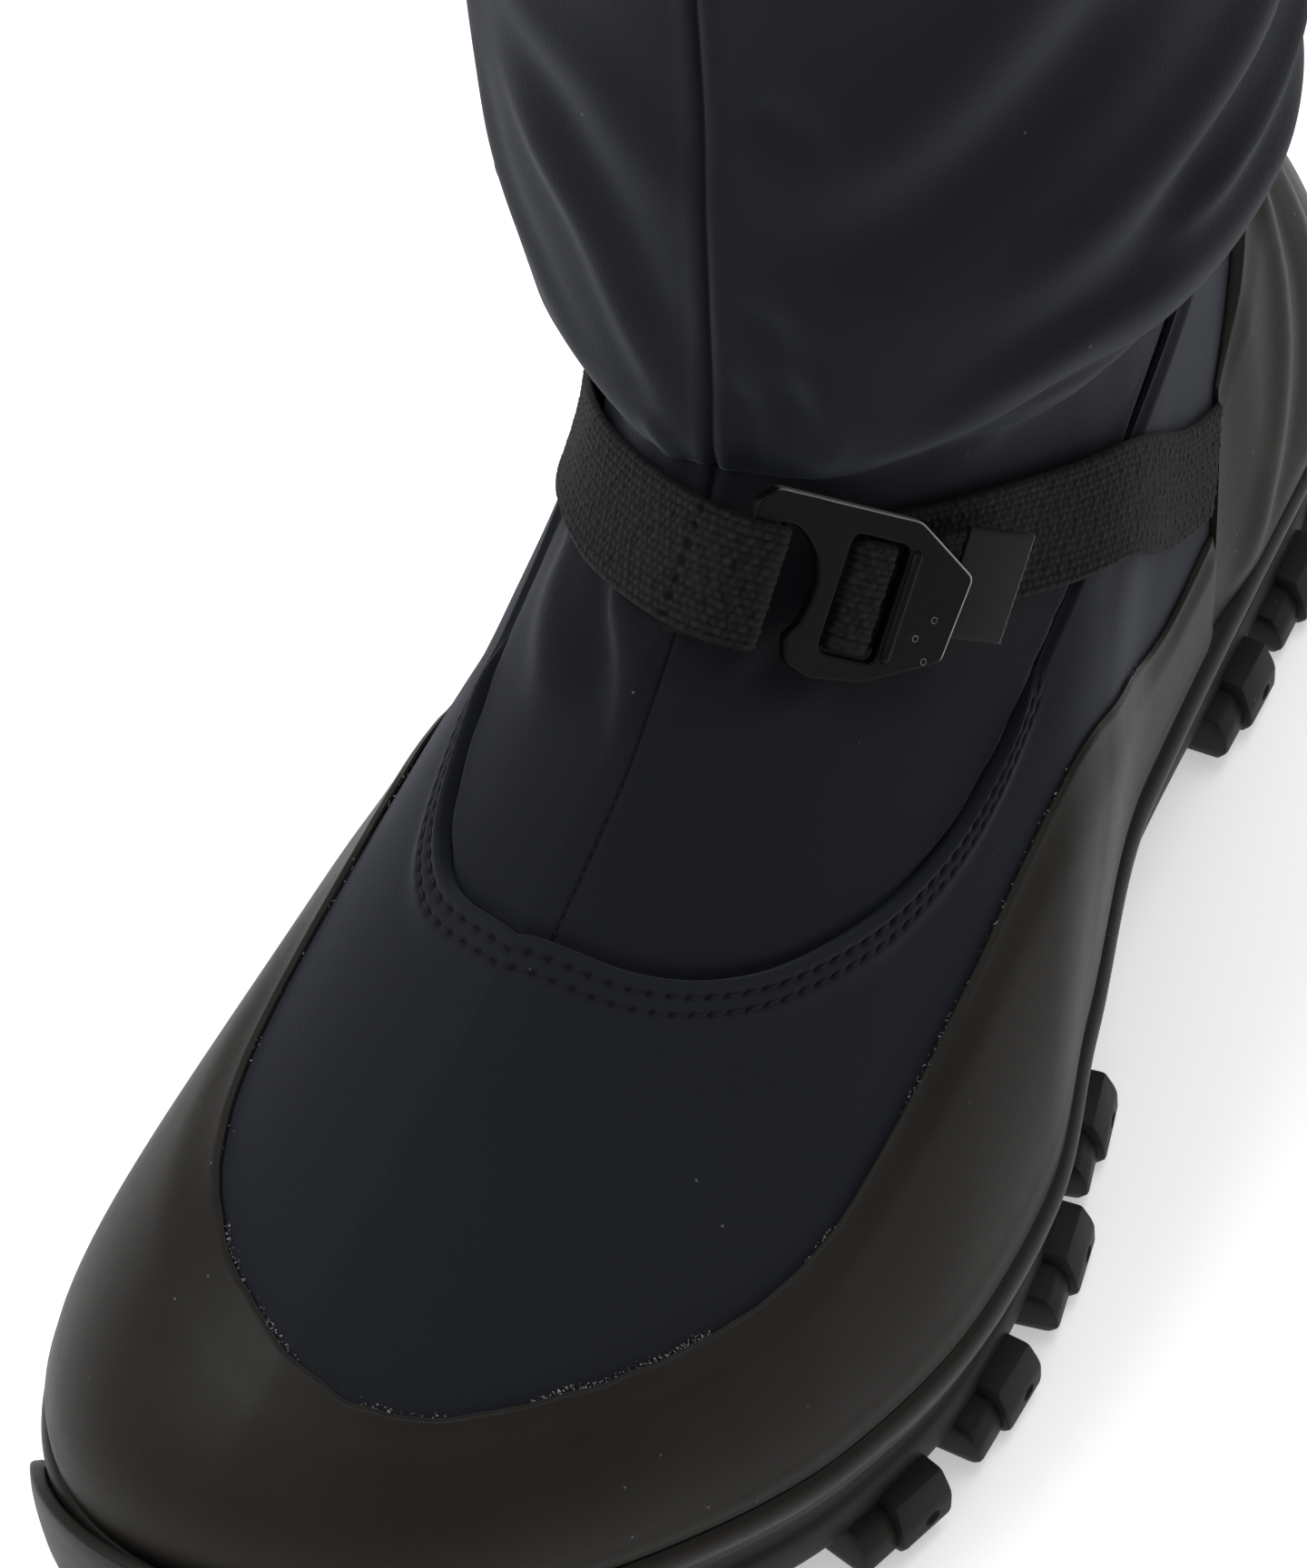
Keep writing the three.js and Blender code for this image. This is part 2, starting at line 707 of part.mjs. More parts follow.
function onPlate(x, y, z) {
  return plateOrigin
    .clone()
    .addScaledVector(plateX, x)
    .addScaledVector(plateY, y - plateDrop)
    .addScaledVector(plateNormal, z);
}

const lateralStrap = ribbon(strapFrom, 0.425, 16, () => gap, webbing, strapWidth);

// The plate's outline with its open hook, as shares of the plate's width and height.
const plateTable = [
  { x: -0.466, y: 0.4 },
  { x: -0.394, y: 0.5 },
  { x: 0.24, y: 0.5 },
  { x: 0.534, y: 0.26 },
  { x: 0.511, y: -0.25 },
  { x: 0.203, y: -0.466 },
  { x: -0.029, y: -0.508 },
  { x: -0.143, y: -0.45 },
  { x: -0.177, y: -0.308 },
  { x: -0.131, y: -0.217 },
  { x: -0.114, y: -0.083 },
  { x: -0.114, y: 0.05 },
  { x: -0.149, y: 0.175 },
  { x: -0.206, y: 0.258 },
  { x: -0.274, y: 0.317 },
  { x: -0.354, y: 0.313 },
  { x: -0.363, y: -0.258 },
  { x: -0.391, y: -0.308 },
  { x: -0.44, y: -0.308 },
  { x: -0.466, y: -0.267 },
];
const slotCentre = 3.7;
function plateGeometry() {
  const outline = new THREE.Shape(
    plateTable.map(({ x, y }) => new THREE.Vector2(x * plateWidth, y * plateHeight)),
  );
  const w = slotWidth / 2;
  const h = slotHeight / 2;
  const corner = 1.2;
  const hole = new THREE.Path();
  hole.moveTo(slotCentre - w + corner, -h);
  hole.lineTo(slotCentre + w - corner, -h);
  hole.lineTo(slotCentre + w, -h + corner);
  hole.lineTo(slotCentre + w, h - corner);
  hole.lineTo(slotCentre + w - corner, h);
  hole.lineTo(slotCentre - w + corner, h);
  hole.lineTo(slotCentre - w, h - corner);
  hole.lineTo(slotCentre - w, -h + corner);
  hole.closePath();
  outline.holes.push(hole);
  const flat = new THREE.ExtrudeGeometry(outline, {
    depth: plateThickness - 0.8,
    bevelEnabled: true,
    bevelThickness: 0.4,
    bevelSize: 0.4,
    bevelOffset: -0.4,
    bevelSegments: 1,
  });
  flat.translate(0, 0, 0.4);
  return flat;
}

// Moves a geometry drawn flat in x and y on to the plate's frame.
function ontoPlate(geometry) {
  const frame = new THREE.Matrix4().makeBasis(plateX, plateY, plateNormal);
  frame.setPosition(onPlate(0, 0, 0));
  return geometry.applyMatrix4(frame);
}

// The same with shared corners, for a solid.
function merged(geometry) {
  const source = geometry.index ? geometry.toNonIndexed() : geometry;
  const at = source.attributes.position;
  const keys = new Map();
  const points = [];
  const order = [];
  for (let i = 0; i < at.count; i += 1) {
    const p = new THREE.Vector3().fromBufferAttribute(at, i);
    const key = p.toArray().map((v) => Math.round(v * 1e4)).join(" ");
    if (!keys.has(key)) {
      keys.set(key, points.length);
      points.push(p);
    }
    order.push(keys.get(key));
  }
  const triangles = [];
  for (let i = 0; i < order.length; i += 3) {
    const [a, b, c] = order.slice(i, i + 3);
    if (a !== b && b !== c && c !== a) triangles.push([a, b, c]);
  }
  return geometryOf(points, triangles);
}

// The plate, with a low rib beside the slot.
function bucklePlate() {
  const ribHeight = 0.7;
  const rib = new THREE.BoxGeometry(1.4, slotHeight, ribHeight + 1);
  rib.translate(slotCentre + slotWidth / 2 + 1.2, 0, plateThickness + ribHeight - (ribHeight + 1) / 2);
  const solid = Manifold.union([solidOf(merged(plateGeometry())), solidOf(merged(rib))]);
  return merged(ontoPlate(geometryOfSolid(solid)));
}
const buckle = bucklePlate();

// A band across the plate's frame. rows: x, the height of its outer and of its inner face, and its middle.
function plateBand(rows, width) {
  return rows.map(({ outer, inner, y }) => {
    const sides = between(-width / 2, width / 2, 3);
    const out = sides.map((s) => onPlate(outer[0], y + s, outer[1]));
    const back = sides.map((s) => onPlate(inner[0], y + s, inner[1]));
    return out.concat(back.reverse());
  });
}

// The medial strap climbs from the ankle to the hook, turns round its prong and comes back underneath.
function medialStrapGeometry() {
  const leaveAt = 0.565;
  const sides = between(-strapWidth / 2, strapWidth / 2, 3);
  const onBoot = between(1 - strapFrom, leaveAt, 16).map((u) => {
    const outer = sides.map((s) => onStrap(u, s, gap + webbing));
    const inner = sides.map((s) => onStrap(u, s, gap));
    return outer.concat(inner.reverse());
  });
  const loopMiddle = -1.6;
  const prongLeft = -0.466 * plateWidth;
  const prongRight = -0.363 * plateWidth;
  const bend = 9;
  const start = sides.map((s) => onStrap(leaveAt, s, gap));
  const run = sides.map((s, i) => start[i].clone().sub(onStrap(leaveAt + 0.006, s, gap)).normalize());
  const end = sides.map((s) => onPlate(prongLeft - 0.5, loopMiddle + s, plateThickness + gap));
  const arrive = plateX.clone().multiplyScalar(0.8).addScaledVector(plateNormal, 0.6);
  const climb = (t) => {
    const r = 1 - t;
    return sides.map((_, i) => {
      const a = start[i].clone().addScaledVector(run[i], bend);
      const b = end[i].clone().addScaledVector(arrive, -bend * 0.8);
      return new THREE.Vector3()
        .addScaledVector(start[i], r * r * r)
        .addScaledVector(a, 3 * r * r * t)
        .addScaledVector(b, 3 * r * t * t)
        .addScaledVector(end[i], t * t * t);
    });
  };
  const free = between(0, 1, 7).slice(1).map((t) => {
    const here = climb(t);
    const before = climb(t - 0.02);
    const across = here[3].clone().sub(here[0]).normalize();
    const outer = here.map((p, i) => {
      const along = p.clone().sub(before[i]).normalize();
      return p.clone().addScaledVector(new THREE.Vector3().crossVectors(along, across).normalize(), webbing);
    });
    return outer.concat(here.slice().reverse());
  });
  const near = plateThickness / 2 + gap;
  const turnRows = between(90, -90, 5).map((degrees) => {
    const angle = THREE.MathUtils.degToRad(degrees);
    const at = (radius) => [
      prongRight + 0.2 + radius * Math.cos(angle),
      plateThickness / 2 + radius * Math.sin(angle),
    ];
    return { outer: at(near + webbing), inner: at(near), y: loopMiddle };
  });
  const under = [
    { outer: [prongLeft + 0.8, -gap - webbing], inner: [prongLeft + 0.5, -gap], y: loopMiddle },
    { outer: [prongLeft - 0.3, -2.6], inner: [prongLeft - 0.9, -1.3], y: loopMiddle - 0.3 },
    { outer: [prongLeft - 1.4, -4.6], inner: [prongLeft - 2.6, -3.9], y: loopMiddle - 0.8 },
    { outer: [prongLeft - 2.2, -6.4], inner: [prongLeft - 3.5, -5.8], y: loopMiddle - 1.4 },
  ];
  return loft([...onBoot, ...free, ...plateBand([...turnRows, ...under], strapWidth)], false);
}
const medialStrap = medialStrapGeometry();

// The strap's tail shows in the slot, then runs out under the plate to the stiff tab.
// Its rows: x: shares of the plate's width, height: shares of its thickness, y: shares of its height.
const tailRows = [
  { outer: [0.0028, -0.75], inner: [0.0389, -0.8], y: 0 },
  { outer: [0.0083, 0.2], inner: [0.0417, -0.05], y: 0 },
  { outer: [0.0361, 0.75], inner: [0.0528, 0.075], y: 0 },
  { outer: [0.1028, 0.8], inner: [0.1028, 0.1], y: 0 },
  { outer: [0.1694, 0.75], inner: [0.1528, 0.075], y: 0 },
  { outer: [0.2, 0.2], inner: [0.1639, -0.05], y: 0 },
  { outer: [0.2139, -0.225], inner: [0.1778, -0.75], y: 0.0125 },
  { outer: [0.2639, -0.25], inner: [0.2583, -0.95], y: 0.0417 },
  { outer: [0.3889, -0.3], inner: [0.3861, -1], y: 0.1167 },
  { outer: [0.5, -0.5], inner: [0.4944, -1.2], y: 0.1833 },
].map(({ outer, inner, y }) => ({
  outer: [outer[0] * plateWidth, outer[1] * plateThickness],
  inner: [inner[0] * plateWidth, inner[1] * plateThickness],
  y: y * plateHeight,
}));
const tailWidth = slotHeight - 4 * gap;
const tail = loft(plateBand(tailRows, tailWidth), false);

const tabStart = 0.508 * plateWidth;
const tabRows = [0, 0.25, 0.6, 1].map((k) => {
  const x = tabStart + tabWidth * k;
  const z = -plateThickness * (0.4 + 0.8 * k * k);
  const y = plateHeight * (0.192 + 0.033 * k);
  return { outer: [x, z], inner: [x - 0.1 * plateThickness * k, z - tabThickness], y };
});
const tab = loft(plateBand(tabRows, tabHeight), false);

const group = new THREE.Group();
group.name = "winter_boot";
function add(name, geometry, color, roughness, metalness = 0) {
  const mesh = new THREE.Mesh(geometry, new THREE.MeshStandardMaterial({ color, roughness, metalness }));
  mesh.name = name;
  group.add(mesh);
}
const navy = 0x1b1d24;
const rubber = 0x242220;
const black = 0x1c1c1b;
add("outsole", outsole, rubber, 0.6);
add("midsole", midsole, rubber, 0.55);
add("insole", insole, black, 0.9);
add("upper", upper, navy, 0.8);
add("shaft", shaft, navy, 0.8);
add("rand", rand, rubber, 0.5);
add("heel_counter", counter, rubber, 0.5);
add("lateral_strap", lateralStrap, black, 0.9);
add("medial_strap", medialStrap, black, 0.9);
add("strap_tail", tail, black, 0.9);
add("end_tab", tab, rubber, 0.6);
add("hook_buckle", buckle, 0x151514, 0.35, 0.2);

// The origin lies under the middle of the whole boot, on the floor.
const whole = new THREE.Box3().setFromObject(group);
const middle = whole.getCenter(new THREE.Vector3());
for (const mesh of group.children) mesh.geometry.translate(-middle.x, -middle.y, -whole.min.z);

export default group;
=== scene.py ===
# %% [markdown]
# # A left winter boot
# The boot stands empty on its sole. It has a lugged rubber sole, a rubber rand and heel counter, a
# navy softshell foot, a tall gathered shaft and a webbing ankle strap with a flat hook buckle.
# Every soft surface here follows one function, `form(u, w)`, that works out a point of the boot from
# a turn `u` around it and a height `w` up it. Panels, folds, stitches and straps are all placed by
# those two numbers, so they sit on the boot from every side.

# %% The frame
import math
import bpy
import bmesh
import numpy as np
from mathutils import Matrix, Vector


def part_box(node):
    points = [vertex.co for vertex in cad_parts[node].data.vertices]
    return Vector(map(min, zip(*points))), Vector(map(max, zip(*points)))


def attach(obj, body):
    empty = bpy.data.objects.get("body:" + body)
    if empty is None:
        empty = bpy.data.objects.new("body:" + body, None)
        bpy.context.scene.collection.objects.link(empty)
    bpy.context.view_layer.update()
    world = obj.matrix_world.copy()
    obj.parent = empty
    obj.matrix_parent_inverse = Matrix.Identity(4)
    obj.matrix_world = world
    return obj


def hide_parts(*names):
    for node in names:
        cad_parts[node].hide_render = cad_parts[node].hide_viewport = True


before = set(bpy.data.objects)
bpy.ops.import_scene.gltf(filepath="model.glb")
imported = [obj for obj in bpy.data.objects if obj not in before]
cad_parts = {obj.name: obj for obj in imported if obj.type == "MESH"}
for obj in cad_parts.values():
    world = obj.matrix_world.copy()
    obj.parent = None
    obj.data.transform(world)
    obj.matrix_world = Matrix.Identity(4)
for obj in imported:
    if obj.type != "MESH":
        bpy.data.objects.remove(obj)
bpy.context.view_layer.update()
print("packed nodes:", sorted(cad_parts))

# %% [markdown]
# ## The sizes of the boot
# A last maker starts from a few sizes: the last's length, the width at the ball, the instep's height.
# Tables then say, in shares of those sizes, how the boot runs from heel to toe and from sole to
# collar. Millimetres are the handiest unit while the shapes are worked out.

# %% Sizes and tables
LAST, BALL, HEIGHT, INSTEP = 284.0, 108.0, 284.0, 100.0
WALL, GAP = 1.8, 0.3
LUG, MIDSOLE, BEAD, EDGE = 7.0, 9.0, 3.4, 1.6

FEATHER = dict(
    at=[0, .07, .2, .37, .52, .62, .7, .8, .9, 1],
    axis=[-.02, -.02, -.02, -.02, -.015, 0, -.01, -.045, -.11, -.17],
    lateral=[.355, .355, .358, .372, .45, .495, .505, .5, .5, .5],
    medial=[.355, .355, .348, .295, .32, .405, .465, .495, .5, .5],
    rise=[.315, .31, .305, .3, .3, .3, .31, .335, .38, .43],
    lift=[.02, 0, 0, .035, 0, 0, 0, .02, .075, .15])
SIDES = dict(
    at=[0, .25, .5, .66, .8, 1], out=[.05, .03, .02, -.02, .02, .06], up=[.34, .3, .26, .24, .27, .34],
    ankle_out=[.02, .02, 0, -.06, -.06, 0], fore=[0, 0, -.04, -.05, -.2, -.42],
    drop=[.36, .36, .36, .36, .4, .46])
RINGS = dict(
    at=[0, .1, .28, .6, 1], front=[.462, .505, .59, .76, 1], side=[.405, .46, .565, .748, 1],
    back=[.41, .462, .56, .742, 1], centre=[.194, .196, .2, .212, .216],
    half=[.338, .445, .495, .51, .537], depth=[.219, .226, .226, .219, .222])
THROAT = dict(
    at=[0, .12, .218, .256, .288, .304, .32, .34, .36, .39, .42, .45, .48, .5, .52, .545, .565, .58,
        .597, .615, .635, .655, .7, .85, 1],
    w=[.9, .87, .82, .79, .71, .66, .606, .566, .556, .562, .581, .61, .643, .657, .65, .64, .646, .662,
       .69, .722, .78, .84, .875, .885, .9])
RAND = dict(
    at=[.174, .2, .226, .254, .28, .294, .31, .325, .347, .365, .386, .42, .454, .475, .489, .503,
        .529, .569, .594, .612, .64, .7, .76, .8, .826],
    w=[.24, .25, .37, .47, .525, .51, .46, .42, .34, .28, .265, .26, .26, .27, .29, .325,
       .35, .39, .44, .51, .54, .5, .38, .27, .24])
COUNTER = dict(at=[-.18, -.153, -.12, -.06, 0, .06, .12, .153, .18],
               w=[.5, .64, .72, .8, .84, .8, .72, .64, .5])
STRAP = dict(
    at=[.17, .2, .225, .25, .29, .314, .344, .385, .449, .475, .51, .55, .6, .65, .7, .75, .775, .8, .83],
    w=[.385, .51, .62, .72, .79, .82, .85, .88, .905, .918, .925, .925, .915, .87, .79, .7, .62, .51, .385])
print("last", LAST, "mm long,", BALL, "mm wide at the ball")

# %% [markdown]
# ## A point of the boot
# `column` reads a table with a smooth curve that never overshoots its rows. `feather` is the line
# where upper and sole meet, `ring` is a level of the shaft, and `form` joins them: a Bezier wall from
# the feather line to the ankle, then the rings up to the collar.

# %% The form
def column(table, key, x):
    """A smooth curve through one column of a table, flat beyond its ends."""
    xs, ys, x = np.asarray(table["at"], float), np.asarray(table[key], float), np.asarray(x, float)
    slope = np.diff(ys) / np.diff(xs)
    run = np.concatenate([slope[:1], slope, slope[-1:]])
    product = run[:-1] * run[1:]
    tangent = np.where(product <= 0, 0, 2 * product / np.where(product <= 0, 1, run[:-1] + run[1:]))
    tangent[0], tangent[-1] = slope[0], slope[-1]
    i = np.clip(np.searchsorted(xs, x) - 1, 0, len(xs) - 2)
    h = xs[i + 1] - xs[i]
    t = np.clip((x - xs[i]) / h, 0, 1)
    return ((2 * t**3 - 3 * t**2 + 1) * ys[i] + (t**3 - 2 * t**2 + t) * h * tangent[i]
            + (3 * t**2 - 2 * t**3) * ys[i + 1] + (t**3 - t**2) * h * tangent[i + 1])


def closing(distance, reach, power):
    k = np.clip(distance / reach, 0, 1)
    return (1 - (1 - k) ** power) ** (1 / power)


def share_at(u):
    return (1 - np.cos(2 * np.pi * np.asarray(u, float))) / 2


def share_of(y):
    return np.clip(0.5 - np.asarray(y) / LAST, 0, 1)


def feather(u):
    share = share_at(u)
    half = np.where(np.sin(2 * np.pi * np.asarray(u, float)) >= 0,
                    column(FEATHER, "lateral", share), -column(FEATHER, "medial", share))
    close = closing(share, .15, 2.3) * closing(1 - share, .3, 2.2)
    return np.stack([BALL * (column(FEATHER, "axis", share) + half * close),
                     LAST * (0.5 - share), INSTEP * column(FEATHER, "rise", share)], -1)


def outward(u):
    along = feather(np.asarray(u) + 1e-3) - feather(np.asarray(u) - 1e-3)
    side = np.stack([-along[..., 1], along[..., 0], 0 * along[..., 0]], -1)
    return side / np.linalg.norm(side, axis=-1, keepdims=True)


def ring(u, at):
    c = np.cos(2 * np.pi * u)
    side = column(RINGS, "side", at)
    end = np.where(c > 0, column(RINGS, "back", at), column(RINGS, "front", at))
    return np.stack([BALL * column(RINGS, "half", at) * np.sin(2 * np.pi * u),
                     LAST * (column(RINGS, "centre", at) + column(RINGS, "depth", at) * c),
                     HEIGHT * (side + (end - side) * c * c)], -1)


def form(u, w):
    """A point of the boot: w 0 to 1 is the foot, 1 to 2 the shaft."""
    u, w = np.broadcast_arrays(np.asarray(u, float), np.asarray(w, float))
    half = 1 - 2 * np.abs(u - np.floor(u) - 0.5)
    bend = {k: INSTEP * column(SIDES, k, half) for k in ("out", "up", "ankle_out", "fore", "drop")}
    a, d, phi = feather(u), ring(u, 0 * u), 2 * np.pi * u
    b = a + outward(u) * bend["out"][..., None]
    b[..., 2] += bend["up"]
    c = d.copy()
    c[..., 0] += bend["ankle_out"] * np.sin(phi)
    c[..., 1] += bend["fore"] + bend["ankle_out"] * np.cos(phi)
    c[..., 2] -= bend["drop"]
    t = np.clip(w, 0, 1)[..., None]
    foot = (1 - t)**3 * a + 3 * (1 - t)**2 * t * b + 3 * (1 - t) * t * t * c + t**3 * d
    return np.where((w > 1)[..., None], ring(u, np.clip(w - 1, 0, 1)), foot)


def slopes(u, w):
    """How the form runs around and up, and its outward normal."""
    step = 4e-3
    low, high = np.clip(w - step, 0, 2), np.clip(w + step, 0, 2)
    around = (form(u + step, w) - form(u - step, w)) / (2 * step)
    up = (form(u, high) - form(u, low)) / (high - low)[..., None]
    normal = np.cross(up, around)
    return around, up, normal / np.linalg.norm(normal, axis=-1, keepdims=True)


def shell(u, w, offset):
    u, w, offset = np.broadcast_arrays(u, w, offset)
    return form(u, w) + slopes(u, w)[2] * offset[..., None]


def smooth(x, low, high):
    t = np.clip((x - low) / (high - low), 0, 1)
    return t * t * (3 - 2 * t)


turns = np.arange(56) / 56
bead_line = feather(turns) + outward(turns) * BEAD
SHIFT = (bead_line.max(0) + bead_line.min(0)) / 2 - 1000 * np.mean(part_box("midsole"), axis=0)
SHIFT[2] = 0
print("the packed origin lies at", SHIFT.round(3), "mm")

# %% [markdown]
# ## From points to a mesh
# A boot's panel is a strip that goes around it: outer points up the outside, inner points back down
# the inside. Joining neighbouring strips gives a closed shell with a real thickness. The UV map holds
# the distance around and up in metres, so a weave keeps its size wherever the panel curves.

# %% Small helpers
def linked(name, data):
    """A new object in the scene that holds a mesh."""
    made = bpy.data.objects.new(name, data)
    bpy.context.collection.objects.link(made)
    return made


def mark(mesh, name, values):
    """Keeps one number per point, which a material or a tree reads by its name."""
    values = np.asarray(values, np.float32).ravel()
    mesh.attributes.new(name, "FLOAT", "POINT").data.foreach_set("value", values)


def distances(points):
    """How far along a row each of its points lies."""
    return np.concatenate([[0], np.cumsum(np.linalg.norm(np.diff(points, axis=0), axis=1))])


def path_object(name, places):
    """A bare line through points in mm, for a Geometry Nodes tree to follow."""
    mesh = bpy.data.meshes.new(name)
    edges = [(i, i + 1) for i in range(len(places) - 1)]
    mesh.from_pydata(((places - SHIFT) / 1000).tolist(), edges, [])
    return linked(name, mesh)


# %% Shell meshes
def plain_mesh(name, points, faces, uv=None, smooth_angle=40):
    """A mesh object in metres with its origin at the frame's origin."""
    mesh = bpy.data.meshes.new(name)
    mesh.from_pydata(((np.asarray(points) - SHIFT) / 1000).tolist(), [], [list(map(int, f)) for f in faces])
    mesh.update()
    if uv is not None:
        layer = mesh.uv_layers.new(name="UVMap")
        layer.data.foreach_set("uv", np.asarray(uv, dtype=np.float32).ravel())
    mesh.polygons.foreach_set("use_smooth", [True] * len(mesh.polygons))
    mesh.set_sharp_from_angle(angle=math.radians(smooth_angle))
    return linked(name, mesh)


strip_size = {}


def strips(name, outer, inner, wrap, around_size=None, smooth_angle=40):
    """Strips of outer (n, m, 3) and inner (n, k, 3) points as one closed shell."""
    n, m, k = len(outer), outer.shape[1], inner.shape[1]
    body = np.concatenate([outer, inner[:, ::-1]], axis=1)
    size = m + k
    i, j = np.meshgrid(np.arange(n if wrap else n - 1), np.arange(size), indexing="ij")
    nxt, up = (i + 1) % n, (j + 1) % size
    quads = np.stack([i * size + j, nxt * size + j, nxt * size + up, i * size + up], -1).reshape(-1, 4)
    middle = outer[:, m // 2]
    s = distances(np.concatenate([middle, middle[:1]]))
    if around_size:
        s = s / s[-1] * around_size
    rise = np.concatenate([np.zeros((n, 1)), np.linalg.norm(np.diff(body, axis=1), axis=2).cumsum(1)],
                          axis=1)
    t = np.concatenate([rise, rise[:, -1:] + 1], axis=1)
    uv = np.stack([np.stack([s[i], t[i, j]], -1), np.stack([s[i + 1], t[nxt, j]], -1),
                   np.stack([s[i + 1], t[nxt, j + 1]], -1), np.stack([s[i], t[i, j + 1]], -1)], 2) / 1000
    uv = uv.reshape(-1, 4, 2)
    faces = [tuple(q) for q in quads]
    if not wrap:
        for base, flip in ((0, True), ((n - 1) * size, False)):
            for c in range(min(m, k) - 1):
                q = (base + c, base + c + 1, base + size - 2 - c, base + size - 1 - c)
                faces.append(q if flip else q[::-1])
                uv = np.concatenate([uv, np.zeros((1, 4, 2))])
    made = plain_mesh(name, body.reshape(-1, 3), faces, uv, smooth_angle)
    strip_size[name] = size
    p = (body - body.mean((0, 1)))
    a, b, c = p[i, j], p[nxt, j], p[nxt, up]
    volume = np.einsum("ijk,ijk->", a, np.cross(b, c))
    if volume < 0:
        made.data.flip_normals()
    return made


def line_second(made, slot, from_face):
    """Gives the faces of every strip from one place on the second material."""
    size = strip_size[made.name]
    index = np.zeros(len(made.data.polygons), dtype=np.int32)
    whole = len(index) // size * size
    place = np.arange(whole) % size
    index[:whole][place >= from_face] = slot
    made.data.polygons.foreach_set("material_index", index)


# %% [markdown]
# ## Writing materials as sums
# A procedural material is a chain of nodes. `Wire` wraps a node's output so that Python's own
# operators add Math nodes, and `Finish` makes any other node from its type, settings and inputs.
# That keeps each recipe readable: `pale = smudge * 0.3 + 0.1`.

# %% Shader helpers
class Wire:
    """A node's output that Python's operators can reckon with."""

    def __init__(self, finish, socket):
        self.finish, self.socket = finish, socket

    def math(self, operation, other=0.0, swap=False):
        a, b = (other, self) if swap else (self, other)
        return self.finish.node("ShaderNodeMath", {"operation": operation}, {0: a, 1: b})

    def __add__(self, other): return self.math("ADD", other)
    def __radd__(self, other): return self.math("ADD", other, True)
    def __sub__(self, other): return self.math("SUBTRACT", other)
    def __rsub__(self, other): return self.math("SUBTRACT", other, True)
    def __mul__(self, other): return self.math("MULTIPLY", other)
    def __rmul__(self, other): return self.math("MULTIPLY", other, True)
    def __truediv__(self, other): return self.math("DIVIDE", other)
    def __gt__(self, other): return self.math("GREATER_THAN", other)
    def sin(self): return self.math("SINE")
    def least(self, other): return self.math("MINIMUM", other)
    def most(self, other): return self.math("MAXIMUM", other)
    def clip(self): return self.least(1.0).most(0.0)

    def ramp(self, low, high):
        """0 below low, 1 above high, smooth between."""
        return self.finish.node("ShaderNodeMapRange", {"interpolation_type": "SMOOTHSTEP"},
                                {0: self, 1: low, 2: high, 3: 0.0, 4: 1.0})


class Finish:
    """A material whose nodes are made one by one."""

    def __init__(self, name, **constants):
        self.material = bpy.data.materials.new(name)
        self.material.use_nodes = True
        self.tree = self.material.node_tree
        self.surface = self.tree.nodes["Principled BSDF"]
        for key, value in constants.items():
            self.surface.inputs[key.replace("_", " ")].default_value = value

    def plug(self, value, socket):
        if isinstance(value, Wire):
            self.tree.links.new(value.socket, socket)
        else:
            socket.default_value = value

    def node(self, kind, settings=None, inputs=None, output=0):
        made = self.tree.nodes.new(kind)
        for key, value in (settings or {}).items():
            setattr(made, key, value)
        for key, value in (inputs or {}).items():
            self.plug(value, made.inputs[key])
        return Wire(self, made.outputs[output])

    def colour(self, factor, low, high):
        """A colour between two, by a factor."""
        low = low if isinstance(low, Wire) else (*low, 1.0)
        high = high if isinstance(high, Wire) else (*high, 1.0)
        return self.node("ShaderNodeMix", {"data_type": "RGBA"}, {0: factor, 6: low, 7: high}, 2)

    def place(self):
        return self.node("ShaderNodeTexCoord", output="Object")

    def noise(self, scale, detail=2.0, rough=0.5, at=None):
        return self.node("ShaderNodeTexNoise", {"noise_dimensions": "3D"},
                         {"Vector": at or self.place(), "Scale": scale, "Detail": detail,
                          "Roughness": rough})

    def specks(self, scale, size, at=None):
        """Rare round specks: 1 inside one, else 0."""
        near = self.node("ShaderNodeTexVoronoi", {"feature": "F1"},
                         {"Vector": at or self.place(), "Scale": scale, "Randomness": 1.0})
        return 1.0 - near.ramp(size * 0.6, size)

    def around_up(self):
        """The distance around and up a panel, in metres."""
        uv = self.node("ShaderNodeUVMap", {"uv_map": "UVMap"})
        split = self.tree.nodes.new("ShaderNodeSeparateXYZ")
        self.plug(uv, split.inputs[0])
        return Wire(self, split.outputs[0]), Wire(self, split.outputs[1])

    def attribute(self, name):
        return self.node("ShaderNodeAttribute", {"attribute_name": name}, output="Fac")

    def bump(self, height, distance, strength=1.0, below=None):
        inputs = {"Height": height, "Distance": distance, "Strength": strength}
        if below is not None:
            inputs["Normal"] = below
        return self.node("ShaderNodeBump", inputs=inputs)

    def set(self, **wires):
        for key, value in wires.items():
            self.plug(value, self.surface.inputs[key.replace("_", " ")])
        return self.material
